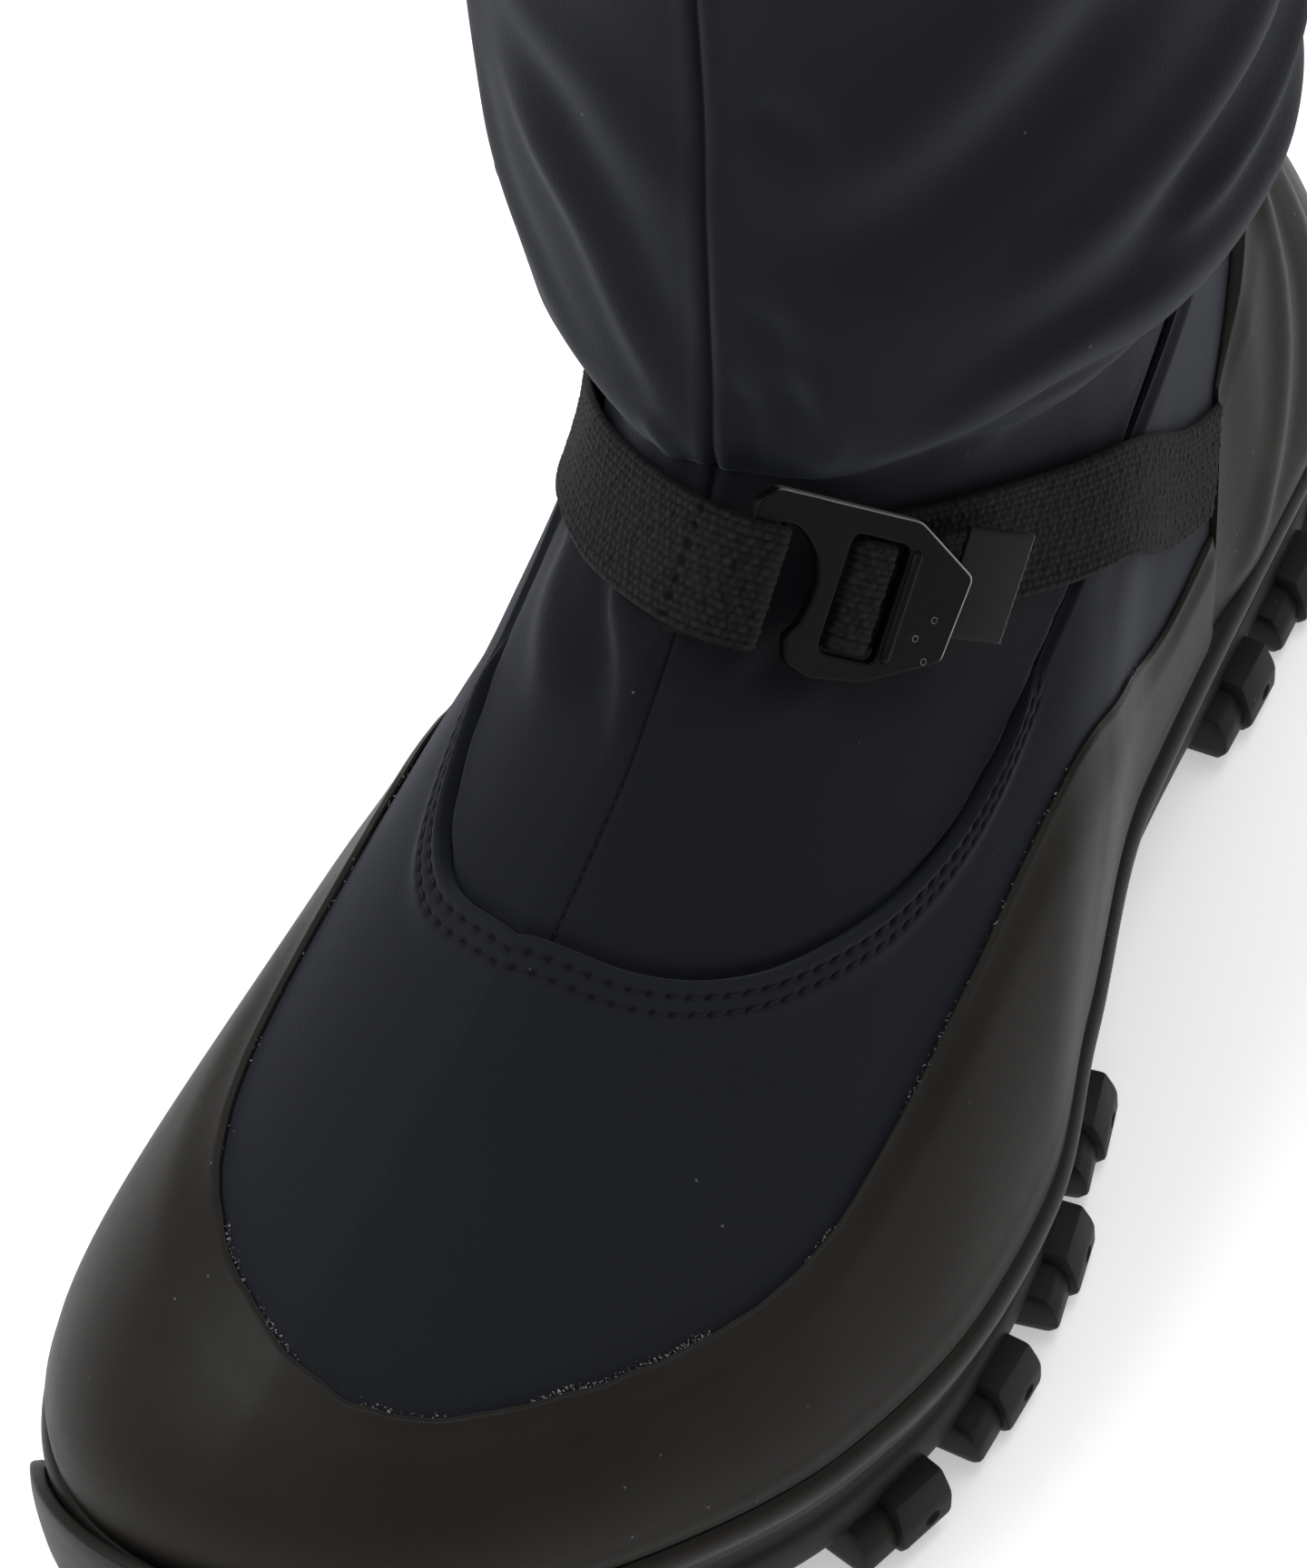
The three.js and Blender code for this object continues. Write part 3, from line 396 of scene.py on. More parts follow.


# %% [markdown]
# ## Softshell
# The foot and the shaft are one navy softshell: a tight matte cloth with a fine rib and a thin nap.
# It drinks light, so its colour is very dark, and the nap catches a little light at a low angle,
# which Blender's sheen does. A few specks of lint sit on it. The foot's copy is painted light:
# the same cloth made 1.3 times lighter.

# %% Navy softshell
def softshell(name, painted_lightness=1.0):
    f = Finish(name, Sheen_Weight=0.12, Sheen_Roughness=0.45, Specular_IOR_Level=0.12)
    f.surface.inputs["Sheen Tint"].default_value = (0.6, 0.66, 0.8, 1)
    s, t = f.around_up()
    rib = (s * (2 * math.pi / 0.00072)).sin() * 0.5 + (t * (2 * math.pi / 0.0011)).sin() * 0.25
    nap = f.noise(1500, 3, 0.7)
    cloud = f.noise(22, 3, 0.55)
    lint = f.specks(160, 0.045) * f.noise(60, 1).ramp(0.52, 0.6)
    dark, light = [c * painted_lightness for c in (0.0050, 0.0055, 0.0076)], [c * painted_lightness for c in (0.0080, 0.0088, 0.0118)]
    cloth = f.colour((cloud * 0.7 + nap * 0.5 - 0.2).clip(), dark, light)
    lint_and_painted_shade = f.colour(lint * 0.55, cloth, (0.16, 0.165, 0.18))
    # Painted shade: the cloth goes near black in the needle holes and along the seam's groove.
    lint_and_painted_shade = f.colour(f.attribute("painted_recess_shade"), lint_and_painted_shade, (0.0012, 0.0012, 0.0015))
    low = f.bump(rib * 0.08 + nap * 0.9, 0.00014, 0.6)
    return f.set(Base_Color=lint_and_painted_shade, Roughness=cloud * 0.12 + 0.72, Normal=f.bump(cloud, 0.0012, 0.35, low))


navy = softshell("softshell_navy")
# Painted light: the foot's copy of the same cloth is 1.3 times lighter.
navy_foot = softshell("softshell_foot", 1.3)
print("softshell made")

# %% [markdown]
# ## Rubber
# The rand, counter and sole are brown-black rubber with a satin skin: faint mould marks, a dull bloom
# where hands and dust touched it, and short pale scuffs low down near the ground.

# %% Rubber
def rubber(name, colour, rough=0.46, bloom=0.5, scuff=0.25):
    f = Finish(name, Specular_IOR_Level=0.13)
    cloud, fine, skin = f.noise(16, 4, 0.6), f.noise(420, 3, 0.65), f.noise(2400, 2, 0.6)
    place = f.node("ShaderNodeMapping", {"vector_type": "POINT"},
                   {"Vector": f.place(), "Scale": (38.0, 9.0, 130.0)})
    streak = f.noise(6.0, 4, 0.7, place).ramp(0.62, 0.78)
    dust = f.specks(210, 0.05) * f.noise(40, 1).ramp(0.5, 0.58)
    light = [min(1, c * 1.55 + 0.003) for c in colour]
    worn = f.colour((cloud.ramp(0.35, 0.75) * bloom + fine * 0.25).clip(), colour, light)
    worn = f.colour((streak * scuff * 0.35).clip(), worn, (0.075, 0.072, 0.068))
    worn = f.colour(dust * 0.4, worn, (0.2, 0.195, 0.19))
    return f.set(Base_Color=worn, Roughness=(cloud * 0.16 + fine * 0.1 + rough - 0.13
                                             + streak * 0.06).clip(),
                 Normal=f.bump(skin * 0.5 + fine * 0.6, 0.00012, 0.5, f.bump(cloud, 0.0009, 0.25)))


rand_rubber = rubber("rubber_rand", (0.0098, 0.0088, 0.0074), 0.47, 0.55, 0.2)
side_rubber = rubber("rubber_midsole", (0.0095, 0.0086, 0.0073), 0.43, 0.4, 0.35)
sole_rubber = rubber("rubber_sole", (0.0095, 0.0088, 0.0078), 0.5, 0.6, 0.6)
print("three rubbers made")

# %% [markdown]
# ## Webbing, thread, metal and the small parts
# The webbing's threads are real relief in the mesh, so its material only adds painted shade between
# the threads, darker where the weave is low, and a fine twist. The buckle is satin black lacquer worn
# to bare metal along its edges: the mesh carries an attribute, `wear`, that is 1 on those edges. The tab shows a
# pale cut edge the same way.

# %% Small finishes
def webbing_finish():
    f = Finish("webbing_black", Sheen_Weight=0.03, Sheen_Roughness=0.5, Specular_IOR_Level=0.08)
    top = f.attribute("thread")
    twist, cloud = f.noise(3200, 2, 0.7), f.noise(300, 3, 0.6)
    # Painted shade: dark between the threads where the weave is low, lighter on the knuckles' tops.
    shade = f.colour((top * 0.85 + f.noise(950, 2, 0.7) * 1.1 + cloud * 0.3 - 0.75).clip(),
                     (0.0014, 0.0014, 0.0015), (0.0170, 0.0170, 0.0168))
    return f.set(Base_Color=shade, Roughness=cloud * 0.2 + 0.62, Normal=f.bump(twist, 0.0001, 0.7))


def metal_finish():
    f = Finish("metal_black", Specular_IOR_Level=0.1)
    wear = f.attribute("wear")
    fine, cloud = f.noise(900, 3, 0.6), f.noise(120, 3, 0.6)
    bare = (wear * (cloud * 0.9 + 0.55) - 0.25).ramp(0.1, 0.75)
    lacquer = f.colour(cloud, (0.0020, 0.0020, 0.0020), (0.0036, 0.0036, 0.0035))
    return f.set(Base_Color=f.colour(bare, lacquer, (0.30, 0.29, 0.275)), Metallic=bare * 0.8,
                 Roughness=fine * 0.1 + 0.36 - bare * 0.06, Normal=f.bump(fine, 0.00006, 0.4))


def tab_finish():
    f = Finish("tab_rubber", Specular_IOR_Level=0.12)
    cut, fine, cloud = f.attribute("wear"), f.noise(1600, 3, 0.65), f.noise(150, 3, 0.6)
    face = f.colour(cloud, (0.0085, 0.0085, 0.0081), (0.0125, 0.0122, 0.0116))
    pale = (cut * (cloud * 1.2 + 0.4)).ramp(0.35, 0.9)
    return f.set(Base_Color=f.colour(pale, face, (0.11, 0.107, 0.10)), Roughness=fine * 0.15 + 0.52,
                 Normal=f.bump(fine, 0.00012, 0.6))


def thread_finish(name, colour):
    f = Finish(name, Sheen_Weight=0.05, Specular_IOR_Level=0.15)
    twist = f.noise(2600, 2, 0.6)
    return f.set(Base_Color=f.colour(twist, [c * 0.6 for c in colour], [c * 1.4 for c in colour]),
                 Roughness=twist * 0.2 + 0.5, Normal=f.bump(twist, 0.0001, 0.6))


def fleece_finish():
    f = Finish("lining_fleece", Sheen_Weight=0.4, Specular_IOR_Level=0.15)
    tuft, cloud = f.noise(620, 4, 0.75), f.noise(50, 3, 0.6)
    return f.set(Base_Color=f.colour((tuft * 0.9 + cloud * 0.3 - 0.2).clip(), (0.018, 0.019, 0.022),
                                     (0.05, 0.052, 0.058)),
                 Roughness=tuft * 0.1 + 0.82, Normal=f.bump(tuft, 0.0009, 0.9))


def glue_finish():
    f = Finish("glue_pale", Specular_IOR_Level=0.3)
    mix = f.noise(900, 3, 0.7)
    return f.set(Base_Color=f.colour(mix.ramp(0.35, 0.7), (0.05, 0.052, 0.055), (0.30, 0.305, 0.30)),
                 Roughness=mix * 0.2 + 0.55, Normal=f.bump(mix, 0.0001, 0.5))


webbing = webbing_finish()
black_metal = metal_finish()
tab_rubber = tab_finish()
thread = thread_finish("thread_navy", (0.0036, 0.0040, 0.0054))
fleece = fleece_finish()
glue = glue_finish()
print("small finishes made")

# %% [markdown]
# ## Folds placed by hand
# The shaft is cloth gathered by the strap, so folds run from the pinch up to the collar and hang over
# the strap on the lateral side. Each fold is a line in (u, w) with a height in mm, a width on either
# side and a fade at its ends. A point near the line moves out by a soft bell curve, so the crease is
# real geometry that casts its own shade.

# %% Fold tables
# line: (u, w) points. high: mm out, below 0 is a trough. near, far: widths in mm on the two sides.
SHAFT_FOLDS = [
    dict(line=[(.62, 1.5), (.545, 1.47), (.52, 1.42), (.502, 1.36), (.495, 1.28)], high=1.0, near=6, far=6),
    dict(line=[(.615, 1.42), (.575, 1.36), (.551, 1.3), (.532, 1.2), (.515, 1.1), (.507, 1.0)], high=1.3,
         near=5.5, far=3.6),
    dict(line=[(.6, 1.45), (.56, 1.41), (.536, 1.34), (.518, 1.24), (.505, 1.12)], high=-1.0, near=5,
         far=5),
    dict(line=[(.66, 1.5), (.63, 1.35), (.6, 1.22), (.57, 1.1), (.55, 1.0)], high=1.2, near=6, far=5),
    dict(line=[(.64, 1.42), (.605, 1.27), (.575, 1.15), (.55, 1.04)], high=-1.0, near=4.5, far=4.5),
    dict(line=[(.31, 1.75), (.376, 1.56), (.41, 1.47), (.44, 1.4), (.465, 1.32)], high=2.2, near=10, far=8),
    dict(line=[(.29, 1.6), (.335, 1.5), (.37, 1.44), (.41, 1.37), (.442, 1.3), (.458, 1.2)], high=-3.6,
         near=10, far=10),
    dict(line=[(.2, 1.46), (.256, 1.39), (.29, 1.355), (.325, 1.315), (.36, 1.27), (.4, 1.2)], high=2.4,
         near=8, far=6),
    dict(line=[(.17, 1.33), (.22, 1.31), (.27, 1.3), (.305, 1.275), (.34, 1.235)], high=-1.6, near=4.5,
         far=4.5),
    dict(line=[(.14, 1.27), (.204, 1.25), (.26, 1.245), (.292, 1.235), (.33, 1.2)], high=2.2, near=4.5,
         far=3),
    dict(line=[(.16, 1.17), (.22, 1.185), (.297, 1.185), (.335, 1.18), (.37, 1.145), (.396, 1.08),
               (.412, 1.0)],
         high=2.7, near=7, far=4),
    dict(line=[(.17, 1.05), (.24, 1.075), (.3, 1.09), (.337, 1.085), (.364, 1.045), (.388, .99)], high=-2.6,
         near=4.5, far=4.5),
    dict(line=[(.19, 1.0), (.25, 1.01), (.3, 1.02), (.338, 1.01), (.362, .985), (.378, .96)], high=1.6,
         near=3.6, far=3.6),
    dict(line=[(.475, 1.5), (.455, 1.46), (.44, 1.45)], high=-.9, near=4, far=4),
    dict(line=[(.482, 1.27), (.467, 1.22), (.458, 1.14), (.462, 1.06)], high=-1.2, near=3, far=3),
    dict(line=[(.475, 1.2), (.452, 1.16), (.44, 1.08), (.445, 1.0)], high=1.1, near=3, far=3),
    dict(line=[(.486, 1.16), (.476, 1.09), (.472, 1.0)], high=-.8, near=2.2, far=2.2),
    dict(line=[(.53, 1.07), (.52, 1.02), (.515, .97)], high=.9, near=2.2, far=2.2),
    dict(line=[(.61, .93), (.6, .88), (.589, .82), (.562, .79), (.53, .77)], high=1.5, near=4, far=4),
    dict(line=[(.548, .92), (.535, .87), (.52, .855), (.505, .83), (.497, .8), (.492, .76)], high=1.7,
         near=3.4, far=2.0),
    dict(line=[(.575, .9), (.556, .86), (.535, .83), (.515, .79)], high=-1.3, near=3, far=3),
    dict(line=[(.484, .79), (.474, .82), (.46, .83), (.443, .86), (.43, .89)], high=.9, near=2.4, far=2.0),
    dict(line=[(.478, .86), (.462, .865), (.446, .885)], high=.7, near=1.8, far=1.8),
    dict(line=[(.455, .76), (.43, .79), (.4, .8)], high=.6, near=5, far=4),
    dict(line=[(.42, .84), (.39, .79), (.36, .76)], high=-.6, near=4, far=4),
    dict(line=[(.12, 1.13), (.2, 1.13), (.27, 1.13), (.33, 1.12), (.38, 1.1)], high=2.6, near=11, far=11),
    dict(line=[(.38, 1.0), (.44, 1.0), (.5, 1.0), (.55, 1.0), (.6, 1.0)], high=2.4, near=8, far=8),
    # The medial side and the back, out of the photograph's sight, gather in the same way.
    dict(line=[(.72, 1.55), (.7, 1.4), (.67, 1.25), (.64, 1.1), (.63, 1.0)], high=-2.4, near=7, far=7),
    dict(line=[(.78, 1.6), (.76, 1.42), (.72, 1.26), (.69, 1.12), (.67, 1.0)], high=2.8, near=7, far=5),
    dict(line=[(.64, 1.13), (.7, 1.11), (.76, 1.13), (.82, 1.16)], high=2.4, near=5, far=3.4),
    dict(line=[(.84, 1.5), (.83, 1.35), (.8, 1.22), (.77, 1.1)], high=-2.4, near=7, far=7),
    dict(line=[(.9, 1.62), (.885, 1.45), (.86, 1.28), (.82, 1.16)], high=2.6, near=7, far=5),
    dict(line=[(.95, 1.4), (.935, 1.27), (.91, 1.14), (.89, 1.04)], high=-2.2, near=6, far=6),
    dict(line=[(1.03, 1.55), (1.0, 1.4), (.97, 1.25), (.94, 1.1)], high=2.3, near=7, far=5),
    dict(line=[(1.1, 1.5), (1.07, 1.34), (1.03, 1.2), (1.0, 1.06)], high=-2.2, near=7, far=7),
    dict(line=[(1.15, 1.5), (1.12, 1.35), (1.09, 1.2), (1.06, 1.06)], high=2.3, near=6, far=6),
    dict(line=[(.86, 1.08), (.93, 1.06), (1.0, 1.07), (1.08, 1.08), (1.15, 1.1)], high=1.8, near=4, far=3),
    dict(line=[(.86, 1.02), (.93, 1.0), (1.0, 1.01), (1.08, 1.02), (1.15, 1.03)], high=-1.4, near=3, far=3),
]
FOOT_FOLDS = [
    dict(line=[(.36, .5), (.4, .49), (.45, .51), (.5, .54)], high=-.5, near=6, far=6),
    dict(line=[(.28, .62), (.31, .55), (.34, .5)], high=.4, near=5, far=5),
    dict(line=[(.62, .6), (.66, .63), (.7, .62), (.75, .58)], high=-.6, near=5, far=5),
    dict(line=[(.2, .6), (.24, .66), (.28, .64)], high=-.5, near=4, far=4),
]


def path_of(line, count=28):
    """A smooth run through a fold's (u, w) points."""
    line = np.asarray(line, float)
    t = np.concatenate([[0], np.cumsum(np.linalg.norm(np.diff(line, axis=0) * (1, .35), axis=1))])
    table = dict(at=t, u=line[:, 0], w=line[:, 1])
    x = np.linspace(0, t[-1], count)
    return column(table, "u", x), column(table, "w", x)


def fold_lift(points, normals, folds):
    """How far each point of a panel moves out."""
    flat, out = points.reshape(-1, 3), normals.reshape(-1, 3)
    lift = np.zeros(len(flat))
    for fold in folds:
        way = form(*path_of(fold["line"]))
        reach = 3 * max(fold["near"], fold["far"])
        box = np.all((flat > way.min(0) - reach) & (flat < way.max(0) + reach), axis=1)
        p, n = flat[box], out[box]
        if not len(p):
            continue
        a, b = way[:-1], way[1:]
        run = b - a
        k = np.clip(((p[:, None] - a) * run).sum(-1) / (run * run).sum(-1), 0, 1)
        gap = p[:, None] - (a + k[..., None] * run)
        distance = np.linalg.norm(gap, axis=-1)
        best = distance.argmin(1)
        row = np.arange(len(p))
        side = (np.cross(run[best], gap[row, best]) * n).sum(-1) > 0
        wide = np.where(side, fold["near"], fold["far"])
        t = (best + k[row, best]) / len(run)
        fade = smooth(t, 0, .3) * smooth(1 - t, 0, .3)
        lift[box] += fold["high"] * fade * np.exp(-(distance[row, best] / wide) ** 2)
    return lift.reshape(points.shape[:-1])


print(len(SHAFT_FOLDS), "folds on the shaft,", len(FOOT_FOLDS), "on the foot")

# %% [markdown]
# ## The foot
# The softshell foot is one panel with an opening, the throat. Around its front the throat has a
# turned edge that stands a little proud, with a flat band beside it for two rows of stitches. Rows of
# points close together near the edge hold that roll; wide rows are enough on the smooth vamp.

# %% Foot panel
def eased(table, width):
    """A table's w as a function whose corners are rounded over a width in turns."""
    grid = np.linspace(-.5, 1.5, 4001)
    bell = np.exp(-(np.arange(-90, 91) * 5e-4 / width) ** 2 / 2)
    inside = np.mod(grid, 1) if table["at"][0] == 0 else grid
    soft = np.convolve(np.pad(column(table, "w", inside), 90, "edge"), bell / bell.sum(), "valid")
    return lambda u: np.interp(u, grid, soft)


throat_soft, rand_soft = eased(THROAT, .006), eased(RAND, .009)


def throat_at(u):
    return throat_soft(np.mod(u, 1))


def throat_roll(u):
    u = np.mod(u, 1)
    front = np.exp(-((u - .475) / .085) ** 2)
    return (1.1 - .5 * front) * smooth(u, .298, .318) * (1 - smooth(u, .6, .622))


def beside_throat(u, distance):
    """The height on the foot a distance below the throat's edge, in mm."""
    top = throat_at(u)
    return top - distance / np.linalg.norm(slopes(u, top)[1], axis=-1)


STITCH_ROWS, STITCH_FROM, STITCH_TO, PITCH = (2.5, 5.0), .302, .616, 2.8
fine_u = np.linspace(STITCH_FROM, STITCH_TO, 900)
row_lengths, row_counts = [], []
for distance in STITCH_ROWS:
    row = form(fine_u, beside_throat(fine_u, distance))
    row_lengths.append(distances(row))
    row_counts.append(round(row_lengths[-1][-1] / PITCH))


def hole_waves(u):
    """Each stitch row's distance from the edge, and a wave that is 1 at its needle holes."""
    for distance, lengths, count in zip(STITCH_ROWS, row_lengths, row_counts):
        phase = np.interp(u, fine_u, lengths) / lengths[-1] * count
        yield distance, .5 - .5 * np.cos(2 * np.pi * phase)


def needle_hole_shade(u, d):
    """Painted shade for the needle holes: 1 in a hole, 0 away from it."""
    dark = 0
    for distance, wave in hole_waves(u):
        dark = np.maximum(dark, np.exp(-((d - distance) / .42) ** 2) * wave ** 5)
    return dark * ((u > STITCH_FROM) & (u < STITCH_TO))


def needle(u, d):
    """How deep the two stitch rows pull the panel in: most at the needle holes."""
    deep = 0
    for distance, wave in hole_waves(u):
        deep = deep + np.exp(-((d - distance) / .5) ** 2) * (.12 + .46 * wave ** 1.5)
    return deep * smooth(u, STITCH_FROM - .004,
                         STITCH_FROM + .002) * (1 - smooth(u, STITCH_TO - .002, STITCH_TO + .004))


def throat_lift(u, d):
    """How far the panel stands proud beside its edge."""
    edge = np.sqrt(np.clip(1 - (np.clip(1.1 - d, 0, 1.1) / 1.15) ** 2, 0, 1))
    thin = 1.0 * (1 - smooth(throat_roll(u), 0, .8)) * (1 - smooth(d, .2, 2.8))
    return throat_roll(u) * edge * (1 - .3 * smooth(d, 1.2, 2.2) - .7 * smooth(d, 5.6, 8.6)) - needle(u,
                                                                                                      d) - thin


def above_sole(points):
    """Lifts what lies below the line where upper and sole meet."""
    points[..., 2] = np.maximum(points[..., 2], INSTEP * column(FEATHER, "rise", share_of(points[..., 1])))


def foot_panel():
    # Turns crowd where the stitches are, so that each needle hole is a dimple in the mesh.
    u = np.sort(np.mod(np.concatenate([np.linspace(.296, .622, 620), np.linspace(.622, 1.296, 260)[1:-1]]),
                       1))
    count = len(u)
    top = throat_at(u)
    per_mm = 1 / np.linalg.norm(slopes(u, top)[1], axis=-1)
    near = np.array([11, 9, 7.6, 6.6, 6, 5.6, 5.3, 5.0, 4.7, 4.4, 4, 3.5, 3.1, 2.8, 2.5, 2.2, 1.9, 1.5, 1.1,
                     .8, .45, .2, 0])
    low = (top - near[0] * per_mm)[:, None] * np.linspace(0, 1, 50)[:-1]
    w = np.concatenate([low, top[:, None] - near * per_mm[:, None]], axis=1)
    uu = np.repeat(u[:, None], w.shape[1], axis=1)
    base, normal = form(uu, w), slopes(uu, w)[2]
    lift = fold_lift(base, normal, FOOT_FOLDS)
    lift += throat_lift(uu, (top[:, None] - w) / per_mm[:, None])
    outer = base + normal * lift[..., None]
    above_sole(outer)
    k = np.linspace(0, 1, 16)
    wi = top[:, None] * k
    ui = np.repeat(u[:, None], 16, axis=1)
    inner = shell(ui, wi, -WALL)
    above_sole(inner)
    made = strips("foot", outer, inner, True, smooth_angle=60)
    # Painted shade for the needle holes, kept as an attribute that the material reads.
    dark = np.concatenate([needle_hole_shade(uu, (top[:, None] - w) / per_mm[:, None]) * .85, np.zeros((count, 16))],
                          axis=1)
    mark(made.data, "painted_recess_shade", dark)
    line_second(made, 1, w.shape[1])
    return made


foot = foot_panel()
foot.data.materials.append(navy_foot)
foot.data.materials.append(fleece)
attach(foot, "root")
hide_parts("upper")
print("foot:", len(foot.data.polygons), "faces")

# %% [markdown]
# ## The shaft
# The shaft starts inside the throat as a gusset, is pinched by the strap and then widens to the
# collar. It carries the folds. A seam runs up its front: there the panel dips in a fine groove
# between two soft lips, and painted shade darkens the groove's floor.

# %% Shaft panel
SEAM = [(.486, .6), (.486, .65), (.486, .7), (.486, .76), (.488, .82), (.49, .88), (.494, .98),
        (.4935, 1.1),
        (.4925, 1.3), (.492, 1.45), (.4935, 1.6), (.494, 1.8), (.494, 2.0)]
SHAFT_WALL, TUCK, HEM = 1.6, 8.0, 14.0
SHAFT_RISE = 170.0  # mm from w 1 to w 2
SEAM_AT = .49


def seam_u(w):
    line = np.asarray(SEAM)
    return column(dict(at=line[:, 1], u=line[:, 0]), "u", w)


def tucked(u, w):
    """How deep the panel lies: under the foot's edge it is tucked in, above it comes up again."""
    top = throat_at(u)
    above = (w - top) * np.linalg.norm(slopes(u, w)[1], axis=-1)
    deep = WALL + GAP + .2
    free = .35 + .95 * smooth(w, .78, .84) + .5 * smooth(top, .7, .78)
    return -(deep + (free - deep) * smooth(above, -.2, 2.3)) * (1 - smooth(w, .985, 1.06))


def shaft_panel(count=440):
    # Turns crowd at the front seam, and there they bend with it, so that its groove is one fine line.
    u = np.arange(count) / count
    fine = np.array([-.0042, -.0027, -.0017, -.001, -.0005, 0, .0005, .001, .0017, .0027, .0042])
    u = np.sort(np.concatenate([u[np.abs(u - SEAM_AT) > .0055], SEAM_AT + fine]))
    count = len(u)
    top = throat_at(u)
    per_mm = 1 / np.linalg.norm(slopes(u, top)[1], axis=-1)
    low = top - TUCK * per_mm
    k = np.linspace(0, 1, 50)
    w = np.concatenate([low[:, None] + (1.0 - low)[:, None] * k[:-1],
                        np.repeat(np.concatenate([np.linspace(1.0, 1.5, 66)[:-1],
                                                  np.linspace(1.5, 1.91, 26)])[None], count, 0)], 1)
    uu = u[:, None] + (seam_u(w) - SEAM_AT) * np.exp(-((u[:, None] - SEAM_AT) / .03) ** 2)
    base, normal = form(uu, w), slopes(uu, w)[2]
    lift = fold_lift(base, normal, SHAFT_FOLDS) * smooth(w, throat_at(uu) - .01, throat_at(uu) + .06)
    lift += .35 * np.sin(17 * w + 40 * uu) * smooth(w, 1.1,
                                                    1.4) + .25 * np.sin(90 * uu + 11 * w) * smooth(w, 1.3,
                                                                                                   1.7)
    across = (uu - seam_u(w)) * np.linalg.norm(slopes(uu, w)[0], axis=-1)
    above = smooth(w, .9, 1.0)
    lift += (.05 + .3 * above) * np.exp(-(np.abs(across) - 1.6) ** 2 / 1.2) - (.3
                                                                               + .4
                                                                               * above) * np.exp(-(across / (.3 + .3 * above)) ** 2)
    # Painted shade along the floor of the seam's groove, kept with the needle holes' shade.
    painted_recess_shade = np.exp(-(across / (.28 + .12 * above)) ** 2) * .8
    outer = base + normal * (tucked(uu, w) + lift)[..., None]
    hem_w = 2 - (HEM - np.array([0, .25, .6, 1.1, 4, 8, 12.6, 13.4, 14.0])) / SHAFT_RISE
    proud = np.array([0, .45, .85, 1.0, 1.0, 1.0, 1.0, .75, 0])
    ho = shell(np.repeat(u[:, None], 9, 1), np.repeat(hem_w[None], count, 0),
               np.repeat(proud[None], count, 0))
    outer = np.concatenate([outer, ho], axis=1)
    wi = np.concatenate([low[:, None] + (1.0 - low)[:, None] * np.linspace(0, 1, 24)[:-1],
                         np.repeat(np.linspace(1.0, 2, 36)[None], count, 0)], 1)
    ui = np.repeat(u[:, None], wi.shape[1], axis=1)
    bi, ni = form(ui, wi), slopes(ui, wi)[2]
    li = fold_lift(bi, ni, SHAFT_FOLDS) * smooth(wi, throat_at(ui) - .01,
                                                 throat_at(ui) + .06) * smooth(2 - wi, 0, .15)
    inner = bi + ni * (tucked(ui, wi) + li - SHAFT_WALL)[..., None]
    made = strips("shaft_panel", outer, inner, True, smooth_angle=60)
    dark = np.concatenate([painted_recess_shade, np.zeros((count, outer.shape[1] + inner.shape[1] - painted_recess_shade.shape[1]))], axis=1)
    mark(made.data, "painted_recess_shade", dark)
    line_second(made, 1, outer.shape[1])
    return made


shaft = shaft_panel()
shaft.data.materials.append(navy)
shaft.data.materials.append(fleece)
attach(shaft, "root")
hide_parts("shaft")
print("shaft:", len(shaft.data.polygons), "faces")

# %% [markdown]
# ## Rand and heel counter
# The rand is a sheet of rubber a little under 2 mm thick, lasted around the foot and cut along a free line.
# Its top edge is thinned and a little wavy, because it is trimmed by hand. The counter is a moulded
# cup with a rounded rim and upright ridges on its flanks.

# %% Rand
def overlay(name, u, rows, top, thick_of, inner_gap=GAP, smooth_angle=50):
    """A sheet on the foot between two turns; rows are shares of its height."""
    uu = np.repeat(u[:, None], len(rows), axis=1)
    w = top[:, None] * rows
    outer = shell(uu, w, inner_gap + thick_of(uu, np.repeat(rows[None], len(u), 0)))
    inner = shell(uu, w, np.full(w.shape, inner_gap))
    for face in (outer, inner):
        above_sole(face)
    return strips(name, outer, inner, False, smooth_angle=smooth_angle)


side_gap, counter_to = .004, .17
rand_u = np.linspace(counter_to + side_gap, 1 - counter_to - side_gap, 420)
cup_to = counter_to + side_gap - .0006
seeded = np.random.default_rng(5)
trim = np.convolve(seeded.normal(0, 1, 460), np.hanning(9) / 4, "same")[20:440] * .0022
rand_rows = np.concatenate([np.linspace(0, .95, 28), [.97, .98, .988, .994, .9975, 1]])


def rand_thickness(u, k):
    ends = np.minimum(smooth(u, counter_to, counter_to + .008),
                      smooth(1 - u, counter_to, counter_to + .008))
    rim = 1 - smooth(k, .8, .97) * .5 - smooth(k, .985, 1) * .3
    moulded = .25 * np.exp(-((k - .1) / .03) ** 2)
    return (1.8 * rim * (.5 + .5 * ends) + moulded * ends) + .05 * np.sin(60 * u) * k


rand = overlay("rand_panel", rand_u, rand_rows, rand_soft(rand_u) + trim, rand_thickness)
rand.data.materials.append(rand_rubber)
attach(rand, "root")
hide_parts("rand")
print("rand:", len(rand.data.polygons), "faces")

# %% Heel counter
cup_u = np.linspace(-cup_to, cup_to, 300)
cup_rows = np.concatenate([np.linspace(0, .9, 40), [.93, .955, .97, .98, .988, .996, 1]])


